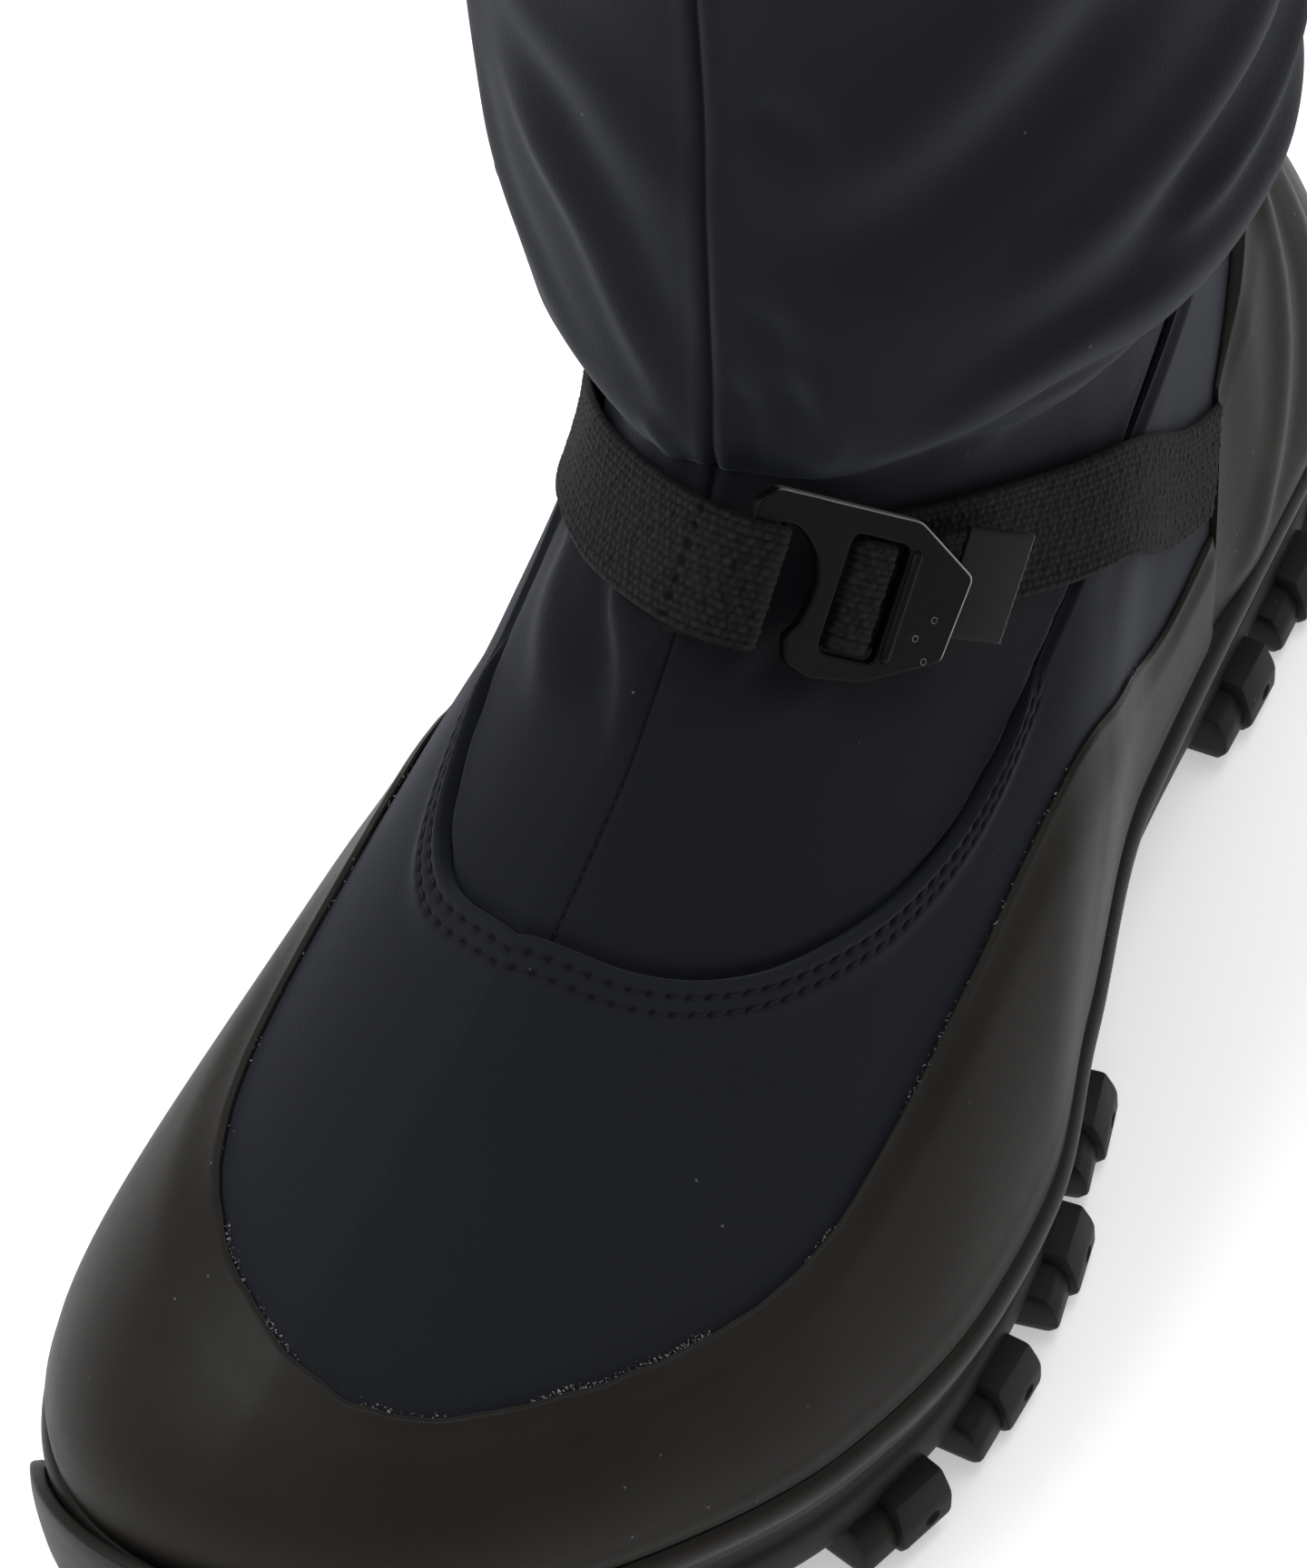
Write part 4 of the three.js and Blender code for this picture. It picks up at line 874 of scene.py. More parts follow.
def cup_thickness(u, k):
    away = np.abs(u)
    # The ridges lean: near the ground they have run forward to the arch.
    lean = away - .05 * (1 - k) ** 1.3
    ridge = 1.3 * np.exp(-((lean - .117) / .0085) ** 2) - .9 * np.exp(-((lean - .097) / .006) ** 2)
    ridge += .8 * np.exp(-((lean - .08) / .007) ** 2) - .5 * np.exp(-((lean - .064) / .005) ** 2)
    ridge *= smooth(k, 0, .1) * (1 - smooth(k, .9, 1))
    rim = 1 - .3 * smooth(k, .85, .97) - .4 * smooth(k, .985, 1)
    ends = smooth(cup_to - away, 0, .022)
    low = smooth(away, .03, .045) * .5 * (1 - smooth(k, .84, .9)) * smooth(k, .05, .12)
    return (2.5 - low * (lean < .06)) * rim * (.36 + .64 * ends) + ridge * smooth(cup_to - away, .002, .02)


counter = overlay("counter_cup", cup_u, cup_rows, column(COUNTER, "w", cup_u), cup_thickness)
counter.data.materials.append(rand_rubber)
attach(counter, "root")
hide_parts("heel_counter")
print("counter:", len(counter.data.polygons), "faces")

# %% [markdown]
# ## Midsole and outsole
# Both are slabs that follow the feather line. Their sides are profiles: the midsole has one round bead
# that catches the light all round the boot, the outsole has a bevel, a wide rib and a step. A slab's
# levels are rings of points, closed straight across at the bottom and the top.

# %% Slabs
def slab(name, levels, material, smooth_angle=35):
    """Rings of points (m, n, 3) from bottom to top, closed across both ends."""
    m, n = levels.shape[:2]
    i, j = np.meshgrid(np.arange(m - 1), np.arange(n), indexing="ij")
    k = (j + 1) % n
    faces = np.stack([i * n + j, i * n + k, (i + 1) * n + k, (i + 1) * n + j], -1).reshape(-1, 4).tolist()
    for base, flip in ((0, True), ((m - 1) * n, False)):
        for j in range(n // 2):
            q = [base + j, base + j + 1, base + n - j - 1, base + (n - j) % n]
            q = list(dict.fromkeys(q))
            faces.append(q[::-1] if flip else q)
    made = plain_mesh(name, levels.reshape(-1, 3), faces, None, smooth_angle)
    work = bmesh.new()
    work.from_mesh(made.data)
    bmesh.ops.recalc_face_normals(work, faces=work.faces)
    work.to_mesh(made.data)
    work.free()
    made.data.materials.append(material)
    return made


sole_u = np.arange(320) / 320
share = share_at(sole_u)
seat = INSTEP * column(FEATHER, "rise", share)
tread = INSTEP * column(FEATHER, "lift", share)


def level(grow, height):
    p = feather(sole_u) + outward(sole_u) * np.asarray(grow)[..., None]
    p[:, 2] = height
    return p


bead_rows = [(0, .35), (.1, .36), (.26, .38), (.33, .44), (.38, .6), (.44, .8), (.52, .93), (.62, 1.0),
             (.73, 1.03),
             (.83, .99), (.91, .88), (.97, .74), (1.0, .6)]
mid_top, mid_base = seat - GAP, seat - MIDSOLE
midsole = slab("midsole_slab", np.array([level(np.full(320, BEAD * r),
                                               mid_base + (mid_top - mid_base) * k) for k, r in bead_rows]),
               side_rubber)
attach(midsole, "root")
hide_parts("midsole")

side_rows = [(0, .0), (.04, .45), (.1, .85), (.18, 1.05), (.34, 1.16), (.46, 1.13), (.52, .95), (.56, .6),
             (.6, .45), (.7, .43),
             (.78, .5), (.81, .8), (.85, .98), (.93, 1.0), (.98, .9), (1, .8)]
out_top, out_base = mid_base - GAP, LUG + tread
outsole = slab("outsole_slab", np.array([level(np.full(320, EDGE * r - 2.3),
                                               out_base + (out_top - out_base) * k) for k, r in side_rows]),
               sole_rubber)
print("midsole and outsole:", len(midsole.data.polygons), len(outsole.data.polygons), "faces")

# %% [markdown]
# ## Lugs
# The tread's lugs repeat around the edge, so Geometry Nodes set them out: a cloud of points carries a
# turn for each lug, and Instance on Points puts one bevelled block on each. The outer lugs are in two
# halves, and the tall half has a small oval dimple.
# The tree ends in Realize Instances and Set Material, and its result is turned into a plain mesh.

# %% Geometry Nodes helpers
def new_tree(name, **inputs):
    tree = bpy.data.node_groups.new(name, "GeometryNodeTree")
    tree.interface.new_socket("Geometry", in_out="INPUT", socket_type="NodeSocketGeometry")
    tree.interface.new_socket("Geometry", in_out="OUTPUT", socket_type="NodeSocketGeometry")
    for key, kind in inputs.items():
        tree.interface.new_socket(key, in_out="INPUT", socket_type="NodeSocket" + kind)
    return tree, tree.nodes.new("NodeGroupInput"), tree.nodes.new("NodeGroupOutput")


def add_node(tree, kind, settings=None, links=None):
    made = tree.nodes.new(kind)
    for key, value in (settings or {}).items():
        setattr(made, key, value)
    for key, value in (links or {}).items():
        if isinstance(value, bpy.types.NodeSocket):
            tree.links.new(value, made.inputs[key])
        else:
            made.inputs[key].default_value = value
    return made


def finish_tree(tree, start, end, instances):
    real = add_node(tree, "GeometryNodeRealizeInstances", links={0: instances})
    dress = add_node(tree, "GeometryNodeSetMaterial",
                     links={0: real.outputs[0], "Material": start.outputs["Material"]})
    tree.links.new(dress.outputs[0], end.inputs[0])
    return tree


def grown(name, source, tree, **values):
    """Runs a tree on an object and returns its result as a plain mesh object."""
    modifier = source.modifiers.new("grow", "NODES")
    modifier.node_group = tree
    for item in tree.interface.items_tree:
        if item.item_type == "SOCKET" and item.in_out == "INPUT" and item.name in values:
            modifier[item.identifier] = values[item.name]
    ready = source.evaluated_get(bpy.context.evaluated_depsgraph_get())
    mesh = bpy.data.meshes.new_from_object(ready)
    mesh.name = name
    made = linked(name, mesh)
    source.modifiers.remove(modifier)
    bpy.data.objects.remove(source)
    return made


def lug_tree():
    tree, start, end = new_tree("lugs", Lug="Object", Material="Material")
    turn = add_node(tree, "GeometryNodeInputNamedAttribute", {"data_type": "FLOAT_VECTOR"},
                    {"Name": "turn"})
    aim = add_node(tree, "FunctionNodeEulerToRotation", links={0: turn.outputs[0]})
    block = add_node(tree, "GeometryNodeObjectInfo", links={"Object": start.outputs["Lug"]})
    put = add_node(tree, "GeometryNodeInstanceOnPoints",
                   links={"Points": start.outputs["Geometry"], "Instance": block.outputs["Geometry"],
                          "Rotation": aim.outputs[0]})
    return finish_tree(tree, start, end, put.outputs[0])


# %% Lug blocks and places
def block(name, points, round_off=.7, dimple=None):
    """A convex block from corner points in mm, with rounded edges and an optional oval dimple."""
    work = bmesh.new()
    corners = [work.verts.new(Vector(p) / 1000) for p in points]
    hull = bmesh.ops.convex_hull(work, input=corners)
    loose = [v for v in hull["geom_interior"] if isinstance(v, bmesh.types.BMVert)]
    bmesh.ops.delete(work, geom=loose, context="VERTS")
    bmesh.ops.dissolve_limit(work, angle_limit=.02, verts=work.verts, edges=work.edges)
    bmesh.ops.bevel(work, geom=list(work.edges), offset=round_off / 1000, segments=2, profile=.6,
                    affect="EDGES")
    bmesh.ops.recalc_face_normals(work, faces=work.faces)
    mesh = bpy.data.meshes.new(name)
    work.to_mesh(mesh)
    work.free()
    made = linked(name, mesh)
    if dimple:
        cup = bmesh.new()
        bmesh.ops.create_uvsphere(cup, u_segments=20, v_segments=12, radius=1,
                                  matrix=Matrix.Translation(Vector(dimple[0]) / 1000) @ Matrix.Diagonal((*(Vector(dimple[1]) / 1000), 1)))
        cup_mesh = bpy.data.meshes.new("cup")
        cup.to_mesh(cup_mesh)
        cup.free()
        cup_object = linked("cup", cup_mesh)
        cut = made.modifiers.new("cut", "BOOLEAN")
        cut.object, cut.operation, cut.solver = cup_object, "DIFFERENCE", "EXACT"
        ready = made.evaluated_get(bpy.context.evaluated_depsgraph_get())
        new = bpy.data.meshes.new_from_object(ready)
        made.modifiers.remove(cut)
        made.data = new
        bpy.data.objects.remove(cup_object)
    made.data.polygons.foreach_set("use_smooth", [True] * len(made.data.polygons))
    made.data.set_sharp_from_angle(angle=math.radians(32))
    return made


def edge_block(name, length, depth, out=4.2):
    """A tall half with a dimple in its face, and a lower half that steps back."""
    def half(name, low, high, reach, top, dimple=None):
        points = []
        for y, in_by in ((low, 1), (high, -1)):
            points += [(reach - 1.8, y + 1.2 * in_by, 0), (reach, y + .3 * in_by, LUG * .35),
                       (reach, y, LUG * .85),
                       (reach - 1.5, y + .4 * in_by, top), (-3, y + .4 * in_by, top + 1),
                       (-depth, y + 2.2 * in_by, 0), (-depth - 1.5, y + 1.5 * in_by, LUG + 2)]
        return block(name, points, .65, dimple)

    tall = half(name, -length * .12, length / 2, out, LUG + 3.2,
                ((out + .2, length * .24, LUG * .62), (.95, 1.5, 1.05)))
    low = half(name + "_low", -length / 2, -length * .02, out - 1.3, LUG + 1.6)
    joined = bmesh.new()
    joined.from_mesh(tall.data)
    joined.from_mesh(low.data)
    joined.to_mesh(tall.data)
    joined.free()
    bpy.data.objects.remove(low)
    return tall


def hex_block(name, length):
    ring_of = ((-1, .5), (0, 1), (1, .5), (1, -.5), (0, -1), (-1, -.5))
    return block(name, [(a * (length / 2 + g), b * (length / 2 + g), z) for z,
                        g in ((0, 0), (LUG + 2, 1.2)) for a, b in ring_of], .8)


def lug_turn(out, y):
    """The turn of a lug that looks along out (x, y) and stands on the tread."""
    slope = float((column(FEATHER, "lift", share_of(y + 1)) - column(FEATHER, "lift", share_of(y - 1)))
                  * INSTEP / 2)
    up = Vector((0, -slope, 1)).normalized()
    x = Vector((out[0], out[1], 0))
    x = (x - up * x.dot(up)).normalized()
    return Matrix((x, up.cross(x), up)).transposed().to_euler()


def set_out(name, template, places, material):
    """places: x, y, out x, out y in mm."""
    points = [(x, y, INSTEP * float(column(FEATHER, "lift", share_of(y)))) for x, y, _, _ in places]
    mesh = bpy.data.meshes.new(name + "_places")
    mesh.from_pydata([((Vector(p) - Vector(SHIFT)) / 1000)[:] for p in points], [], [])
    turn = mesh.attributes.new("turn", "FLOAT_VECTOR", "POINT")
    turn.data.foreach_set("vector", [v for x, y, a, b in places for v in lug_turn((a, b), y)])
    source = linked(name + "_places", mesh)
    made = grown(name, source, lug_tree(), Lug=template, Material=material)
    bpy.data.objects.remove(template)
    for v in made.data.vertices:  # a turned lug's lowest corner would pass the floor
        v.co.z = max(v.co.z, 0)
    return made


def lateral_turn(share):
    return math.acos(1 - 2 * share) / (2 * math.pi)


def beside(u):
    p, n = feather(np.array([u]))[0], outward(np.array([u]))[0]
    return (p[0], p[1], n[0], n[1])


LATERAL_LUGS = (.082, .161, .24, .525, .605, .69, .775)
MEDIAL_LUGS = (.082, .161, .24, .54, .62, .7, .78)
LUG_PITCH = 27.0
short_places, hex_places = [], []
long_places = [beside(lateral_turn(at)) for at in LATERAL_LUGS] + [beside(1
                                                                          - lateral_turn(at)) for at in MEDIAL_LUGS]
short_places += [beside(u) for u in (.425, .475, .525, .575)]
for k in range(4):
    for side in (-.115, .115):
        at = .575 + k * LUG_PITCH / LAST + (.02 if side > 0 else 0)
        hex_places.append((BALL * (float(column(FEATHER, "axis", at)) + side), LAST * (.5 - at), 1, 0))
for k in range(2):
    at = .155 + k * LUG_PITCH / LAST
    hex_places.append((BALL * float(column(FEATHER, "axis", at)), LAST * (.5 - at), 1, 0))
heel_places = [beside(u) for u in (-.055, .055)]

lug_parts = [
    set_out("edge_lugs", edge_block("edge_lug", 17, 19), long_places, sole_rubber),
    set_out("toe_lugs", edge_block("toe_lug", 15.3, 15.2), short_places, sole_rubber),
    set_out("heel_lugs", edge_block("heel_lug", 17, 15.2), heel_places, sole_rubber),
    set_out("middle_lugs", hex_block("middle_lug", 17), hex_places, sole_rubber),
]
print("lugs:", len(long_places) + len(short_places) + len(heel_places) + len(hex_places))

# %% [markdown]
# ## The lip over the toe
# The outsole wraps up over the toe in a thin lip. It is an open strip: each section climbs from
# inside the slab, over the bead, to a rounded top, and the lip's height fades out to both sides.

# %% Toe lip
def toe_lip(count=150):
    spread = .08
    u = np.linspace(.5 - spread, .5 + spread, count)
    s = share_at(u)
    fade = np.clip(np.sin((u - .5 + spread) / (2 * spread) * np.pi), 0, 1) ** .6
    base = INSTEP * column(FEATHER, "rise", s) - MIDSOLE - GAP
    top = base + np.maximum(.6, (MIDSOLE + 4) * fade)
    inner, outer = BEAD + 1.5 * GAP, BEAD + 1.5 * GAP + 1.9
    p, n = feather(u), outward(u)

    def at(grow, z):
        q = p + n * grow
        q[:, 2] = z
        return q

    face = [at(-3, base - 8), at(outer - 1.6, base - 8), at(outer - .5, base - 7.2), at(outer, base - 6)]
    face += [at(outer + .28 * math.sin(math.pi * k) * 1.0,
                (base - 6) + (top - .6 - base + 6) * k) for k in (.2, .4, .6, .8, 1)]
    face += [at(outer - .18, top - .2), at(outer - .55, top)]
    back = [at(-3, base - 2), at(inner * .3, base - 1.6), at(inner - .1, base - 1.2), at(inner, base - .8)]
    back += [at(inner, (base - .8) + (top - .3 - base + .8) * k) for k in (.2, .4, .6, .8, 1)]
    back += [at(inner + .1, top - .1), at(inner + .4, top)]
    return strips("toe_lip", np.stack(face, 1), np.stack(back, 1), False, smooth_angle=45)


lip = toe_lip()
lip.data.materials.append(sole_rubber)
for piece in [outsole, lip] + lug_parts:
    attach(piece, "root")
    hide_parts("outsole")
print("toe lip:", len(lip.data.polygons), "faces")

# %% [markdown]
# ## Webbing
# Webbing is woven narrow cloth. Its look comes from the knuckles of its threads, which lie in bricks:
# each column of threads is shifted by half a knuckle. That relief is built into the mesh, a third of
# a millimetre a step, and the same pattern is kept as an attribute so that painted shade can darken the low places
# between the threads.

# %% Webbing on the boot
STRAP_WIDTH, WEBBING = 17.5, 1.4
STRAP_FROM = counter_to + 1.4 * side_gap
ACROSS = 60


def unit(v):
    return v / np.linalg.norm(v, axis=-1, keepdims=True)


def on_strap(u, side, offset):
    """A point a distance to the side of the strap's line, off the form."""
    u, side, offset = np.broadcast_arrays(np.asarray(u, float), side, offset)
    w = column(STRAP, "w", u)
    ahead, behind = u + 2e-3, u - 2e-3
    along = unit(form(ahead, column(STRAP, "w", ahead)) - form(behind, column(STRAP, "w", behind)))
    around, up, normal = slopes(u, w)
    across = unit(np.cross(along, normal))
    across = np.where(across[..., 2:] < 0, -across, across)
    a, b, c = (around * around).sum(-1), (around * up).sum(-1), (up * up).sum(-1)
    p, q = (across * around).sum(-1) * side, (across * up).sum(-1) * side
    d = a * c - b * b
    return shell(u + (p * c - q * b) / d, np.minimum(w + (q * a - p * b) / d, 1), offset)


def weave(along, across, width):
    """The height of a plain weave, 0 to 1, at distances in mm."""
    column_of = (across + width / 2) / (width / 15)
    lane = np.floor(column_of)
    wander = .12 * np.sin(along * .9 + lane * 2.4) + .1 * np.sin(along * .37 + lane)
    knuckle = np.abs(np.sin(np.pi * column_of)) ** .6
    brick = np.abs(np.sin(np.pi * (along / 1.35 + .5 * np.mod(lane, 2) + wander))) ** .7
    uneven = .8 + .2 * np.sin(lane * 5.1 + np.floor(along / 1.35 + .5 * np.mod(lane, 2)) * 3.3)
    return knuckle * (.2 + .8 * brick) * uneven


def woven(name, outer, inner, width, relief=.36, sewn_at=None):
    """Webbing from rows of points across its width (n, m, 3), outer and inner side."""
    n, m = outer.shape[:2]
    middle = (outer[:, m // 2] + inner[:, m // 2]) / 2
    along = distances(middle)
    across = np.linspace(-width / 2, width / 2, m)
    out = unit(outer - inner)
    height = weave(along[:, None], across[None], width)
    selvedge = smooth(width / 2 - np.abs(across), 0, .9)
    if sewn_at is not None:
        pull = np.exp(-((along[:, None] - sewn_at) / .55) ** 2) * (.45
                                                                   + .55
                                                                   * np.cos(2 * np.pi
                                                                            * across[None] / 2.5)) ** 2
        height = height - 1.3 * pull * selvedge
    height = height * (.35 + .65 * selvedge)
    round_off = .42 * (1 - selvedge) ** 2
    front = outer + out * (relief * (height - .75) - round_off)[..., None]
    back = inner - out * (relief * .5 * (height - .75) - round_off)[..., None]
    made = strips(name, front, back, False, smooth_angle=180)
    # The weave's height, which the material turns into painted shade between the threads.
    mark(made.data, "thread", np.concatenate([height, height[:, ::-1]], axis=1))
    made.data.materials.append(webbing)
    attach(made, "root")
    return made


def even(rows, step=.31):
    """Rows of points (n, m, 3) set at an even distance along the middle."""
    middle = rows[:, rows.shape[1] // 2]
    along = distances(middle)
    want = np.linspace(0, along[-1], max(4, int(along[-1] / step)))
    flat = rows.reshape(len(rows), -1)
    made = np.stack([np.interp(want, along, flat[:, k]) for k in range(flat.shape[1])], -1)
    return made.reshape(len(want), *rows.shape[1:]), along[-1]


sides = np.linspace(-STRAP_WIDTH / 2, STRAP_WIDTH / 2, ACROSS)
lat_u = np.linspace(STRAP_FROM, .425, 260)[:, None]
band = np.concatenate([on_strap(lat_u, sides, GAP + WEBBING), on_strap(lat_u, sides, GAP)], axis=1)
band, length = even(band)
for row_set in (slice(0, ACROSS), slice(ACROSS, 2 * ACROSS)):
    # Taut webbing bridges the hollows that the boot has under it.
    bell = np.exp(-(np.arange(-60, 61) * .31 / 5) ** 2 / 2)
    padded = np.pad(band[:, row_set], ((60, 60), (0, 0), (0, 0)), "reflect", reflect_type="odd")
    band[:, row_set] = np.apply_along_axis(np.convolve, 0, padded, bell / bell.sum(), "valid")
lateral = woven("lateral_webbing", band[:, :ACROSS], band[:, ACROSS:], STRAP_WIDTH)
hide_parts("lateral_strap")
print("lateral strap:", round(length, 1), "mm,", len(lateral.data.polygons), "faces")

# %% [markdown]
# ## The buckle's own frame
# The plate lies flat while the boot curves, so it has its own frame: x runs along the strap to the
# lateral side, y across it, z away from the boot. Everything around the buckle is drawn there first.

# %% Buckle frame
PLATE = np.array([36.0, 24.0, 2.0])
SPOT_U, SPOT_W, STAND = np.array(.421), np.array(.905), 4 * GAP + 2 * WEBBING
plate_z = slopes(SPOT_U, SPOT_W)[2]
plate_at = shell(SPOT_U, SPOT_W, np.array(STAND))
run = on_strap(SPOT_U - .02, 0.0, 0.0) - on_strap(SPOT_U + .02, 0.0, 0.0)
plate_x = unit(run - plate_z * (run @ plate_z))
plate_x = plate_x * math.cos(-.3) + np.cross(plate_z, plate_x) * math.sin(-.3)
plate_y = np.cross(plate_z, plate_x)
plate_at = plate_at - .9 * plate_x + .9 * plate_y


def on_plate(x, y, z):
    x, y, z = np.broadcast_arrays(np.asarray(x, float), y, z)
    return plate_at + x[..., None] * plate_x + (y[..., None] - 3.1) * plate_y + z[..., None] * plate_z


# %% [markdown]
# ## The medial strap
# It climbs from the ankle to the hook, turns round the hook's prong and comes back underneath, where
# its end hangs free. Four stretches are joined: on the boot, a free curve in the air, a half turn and
# the returning end.

# %% Medial strap
def medial_rows():
    leave, middle = .565, -1.6
    left, right = -.466 * PLATE[0], -.363 * PLATE[0]
    u = np.linspace(1 - STRAP_FROM, leave, 240)[:, None]
    first = np.concatenate([on_strap(u, sides, GAP + WEBBING), on_strap(u, sides, GAP)], axis=1)
    start = on_strap(leave, sides, GAP)
    away = unit(start - on_strap(leave + .006, sides, GAP))
    end = on_plate(left - .5, middle + sides, PLATE[2] + GAP)
    arrive = plate_x * .8 + plate_z * .6
    a, b = start + away * 9, end - arrive * 7.2

    def climb(t):
        r = 1 - t
        return r**3 * start + 3 * r * r * t * a + 3 * r * t * t * b + t**3 * end

    free = []
    for t in np.linspace(0, 1, 40)[1:]:
        here, before = climb(t), climb(t - .02)
        across = unit(here[-1] - here[0])
        free.append(np.concatenate([here + unit(np.cross(here - before, across)) * WEBBING, here]))
    near = PLATE[2] / 2 + GAP
    rows = []
    for angle in np.radians(np.linspace(90, -90, 26)):
        def at(r): return on_plate(right + .2 + r * math.cos(angle), middle + sides,
                                   PLATE[2] / 2 + r * math.sin(angle))
        rows.append(np.concatenate([at(near + WEBBING), at(near)]))
    table = dict(at=[0, 1, 2, 3], ox=[left + .8, left - .3, left - 1.4, left - 2.2],
                 oz=[-GAP - WEBBING, -2.6, -4.6, -6.4],
                 ix=[left + .5, left - .9, left - 2.6, left - 3.5], iz=[-GAP, -1.3, -3.9, -5.8],
                 y=[0, -.3, -.8, -1.4])
    for k in np.linspace(0, 3, 24):
        v = {key: float(column(table, key, k)) for key in ("ox", "oz", "ix", "iz", "y")}
        rows.append(np.concatenate([on_plate(v["ox"], middle + v["y"] + sides, v["oz"]),
                                    on_plate(v["ix"], middle + v["y"] + sides, v["iz"])]))
    return np.concatenate([first, free, rows])


band, length = even(medial_rows())
medial = woven("medial_webbing", band[:, :ACROSS], band[:, ACROSS:], STRAP_WIDTH, sewn_at=length - 28)
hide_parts("medial_strap")
print("medial strap:", round(length, 1), "mm,", len(medial.data.polygons), "faces")

# %% [markdown]
# ## Tail and tab
# The webbing shows in the buckle's slot, dips under the plate and comes out on the lateral side, where
# a stiff tab is moulded on its end. The tab is pale along its cut edge.

# %% Tail
TAIL = dict(
    at=list(range(10)),
    ox=[.0028, .0083, .0361, .1028, .1694, .2, .2139, .2639, .3889, .5],
    oz=[-.75, .45, 1.15, 1.3, 1.15, .45, -.225, -.25, -.3, -.5],
    ix=[.0389, .0417, .0528, .1028, .1528, .1639, .1778, .2583, .3861, .4944],
    iz=[-.8, -.05, .075, .1, .075, -.05, -.75, -.95, -1, -1.2],
    y=[0, 0, 0, 0, 0, 0, .0125, .0417, .1167, .1833])
tail_width = 16.8 - 4 * GAP
tail_sides = np.linspace(-tail_width / 2, tail_width / 2, ACROSS - 6)
rows = []
for k in np.linspace(0, 9, 120):
    v = {key: float(column(TAIL, key, k)) for key in ("ox", "oz", "ix", "iz", "y")}
    rows.append(np.concatenate([on_plate(v["ox"] * PLATE[0], v["y"] * PLATE[1] + tail_sides,
                                         v["oz"] * PLATE[2]),
                                on_plate(v["ix"] * PLATE[0], v["y"] * PLATE[1] + tail_sides,
                                         v["iz"] * PLATE[2])]))
band, length = even(np.array(rows), .3)
tail = woven("tail_webbing", band[:, :ACROSS - 6], band[:, ACROSS - 6:], tail_width, .34)
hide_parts("strap_tail")
print("tail:", round(length, 1), "mm")

# %% Tab
TAB_LENGTH, TAB_WIDTH, TAB_THICK = 11.2, 15.5, 1.8


def end_tab():
    k = np.linspace(0, 1, 30)
    k = np.concatenate([[0, .01, .03], k[1:-1], [.97, .99, 1]])
    k.sort()
    side = np.linspace(-1, 1, 30) * TAB_WIDTH / 2
    side = np.concatenate([[side[0], side[0] + .12], side[1:-1], [side[-1] - .12, side[-1]]])
    x = .508 * PLATE[0] + TAB_LENGTH * k[:, None]
    z = -PLATE[2] * (.4 + .8 * k[:, None] ** 2)
    y = PLATE[1] * (.192 + .033 * k[:, None])
    rim = np.minimum(TAB_WIDTH / 2 - np.abs(side)[None], TAB_LENGTH * (1 - k)[:, None] + 0 * side[None])
    drop = .22 * (1 - np.clip(rim / .35, 0, 1)) ** 2
    ragged = .06 * np.sin(side * 7.1)[None] * smooth(k, .9, 1)[:, None]
    outer = on_plate(x + ragged, y + side, z - drop)
    inner = on_plate(x - .1 * PLATE[2] * k[:, None] + ragged, y + side, z - TAB_THICK + drop)
    made = strips("tab", outer, inner, False, smooth_angle=35)
    wear = smooth(k, .955, .99)[:, None] * np.ones_like(side)[None]
    wear = np.maximum(wear, .5 * (smooth(np.abs(side), 7.4, 7.7)[None] * (k > .85)[:, None]))
    mark(made.data, "wear", np.concatenate([wear, wear[:, ::-1]], axis=1))
    made.data.materials.append(tab_rubber)
    return made


tab = end_tab()
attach(tab, "root")
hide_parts("end_tab")
print("tab:", len(tab.data.polygons), "faces")

# %% [markdown]
# ## The hook buckle
# The plate is stamped sheet metal. Its outline is a loop of points; moving each point along its corner
# inwards gives the next loop, so a few loops at rising heights make a rounded rim. The rim's points
# carry `wear` so that the lacquer looks rubbed off just there, more on the top and right edges, where it is also a
# painted highlight.

# %% Buckle plate
OUTLINE = np.array([(-.466, .4), (-.394, .5), (.24, .5), (.534, .26), (.511, -.25), (.203, -.466),
                    (-.029, -.508), (-.143, -.45),
                    (-.177, -.308), (-.131, -.217), (-.114, -.083), (-.114, .05), (-.149, .175),
                    (-.206, .258), (-.274, .317),
                    (-.354, .313), (-.363, -.258), (-.391, -.308), (-.44, -.308),
                    (-.466, -.267)]) * PLATE[:2]
SLOT_X, SLOT_W, SLOT_H = 3.7, 9.4, 16.8


def softened(loop, radius):
    """Cuts each corner back by a radius and rounds it with a few points."""
    out = []
    n = len(loop)
    for i in range(n):
        a, b, c = loop[i - 1], loop[i], loop[(i + 1) % n]
        u, v = a - b, c - b
        r = min(radius, np.linalg.norm(u) * .45, np.linalg.norm(v) * .45)
        p, q = b + unit(u) * r, b + unit(v) * r
        for t in np.linspace(0, 1, 6):
            out.append((1 - t)**2 * p + 2 * t * (1 - t) * b + t * t * q)
    return np.array(out)


def inset(loop, distance):
    """Moves a counter-clockwise loop inwards, square to its run."""
    along = unit(np.roll(loop, -1, 0) - np.roll(loop, 1, 0))
    return loop + np.stack([-along[:, 1], along[:, 0]], -1) * distance


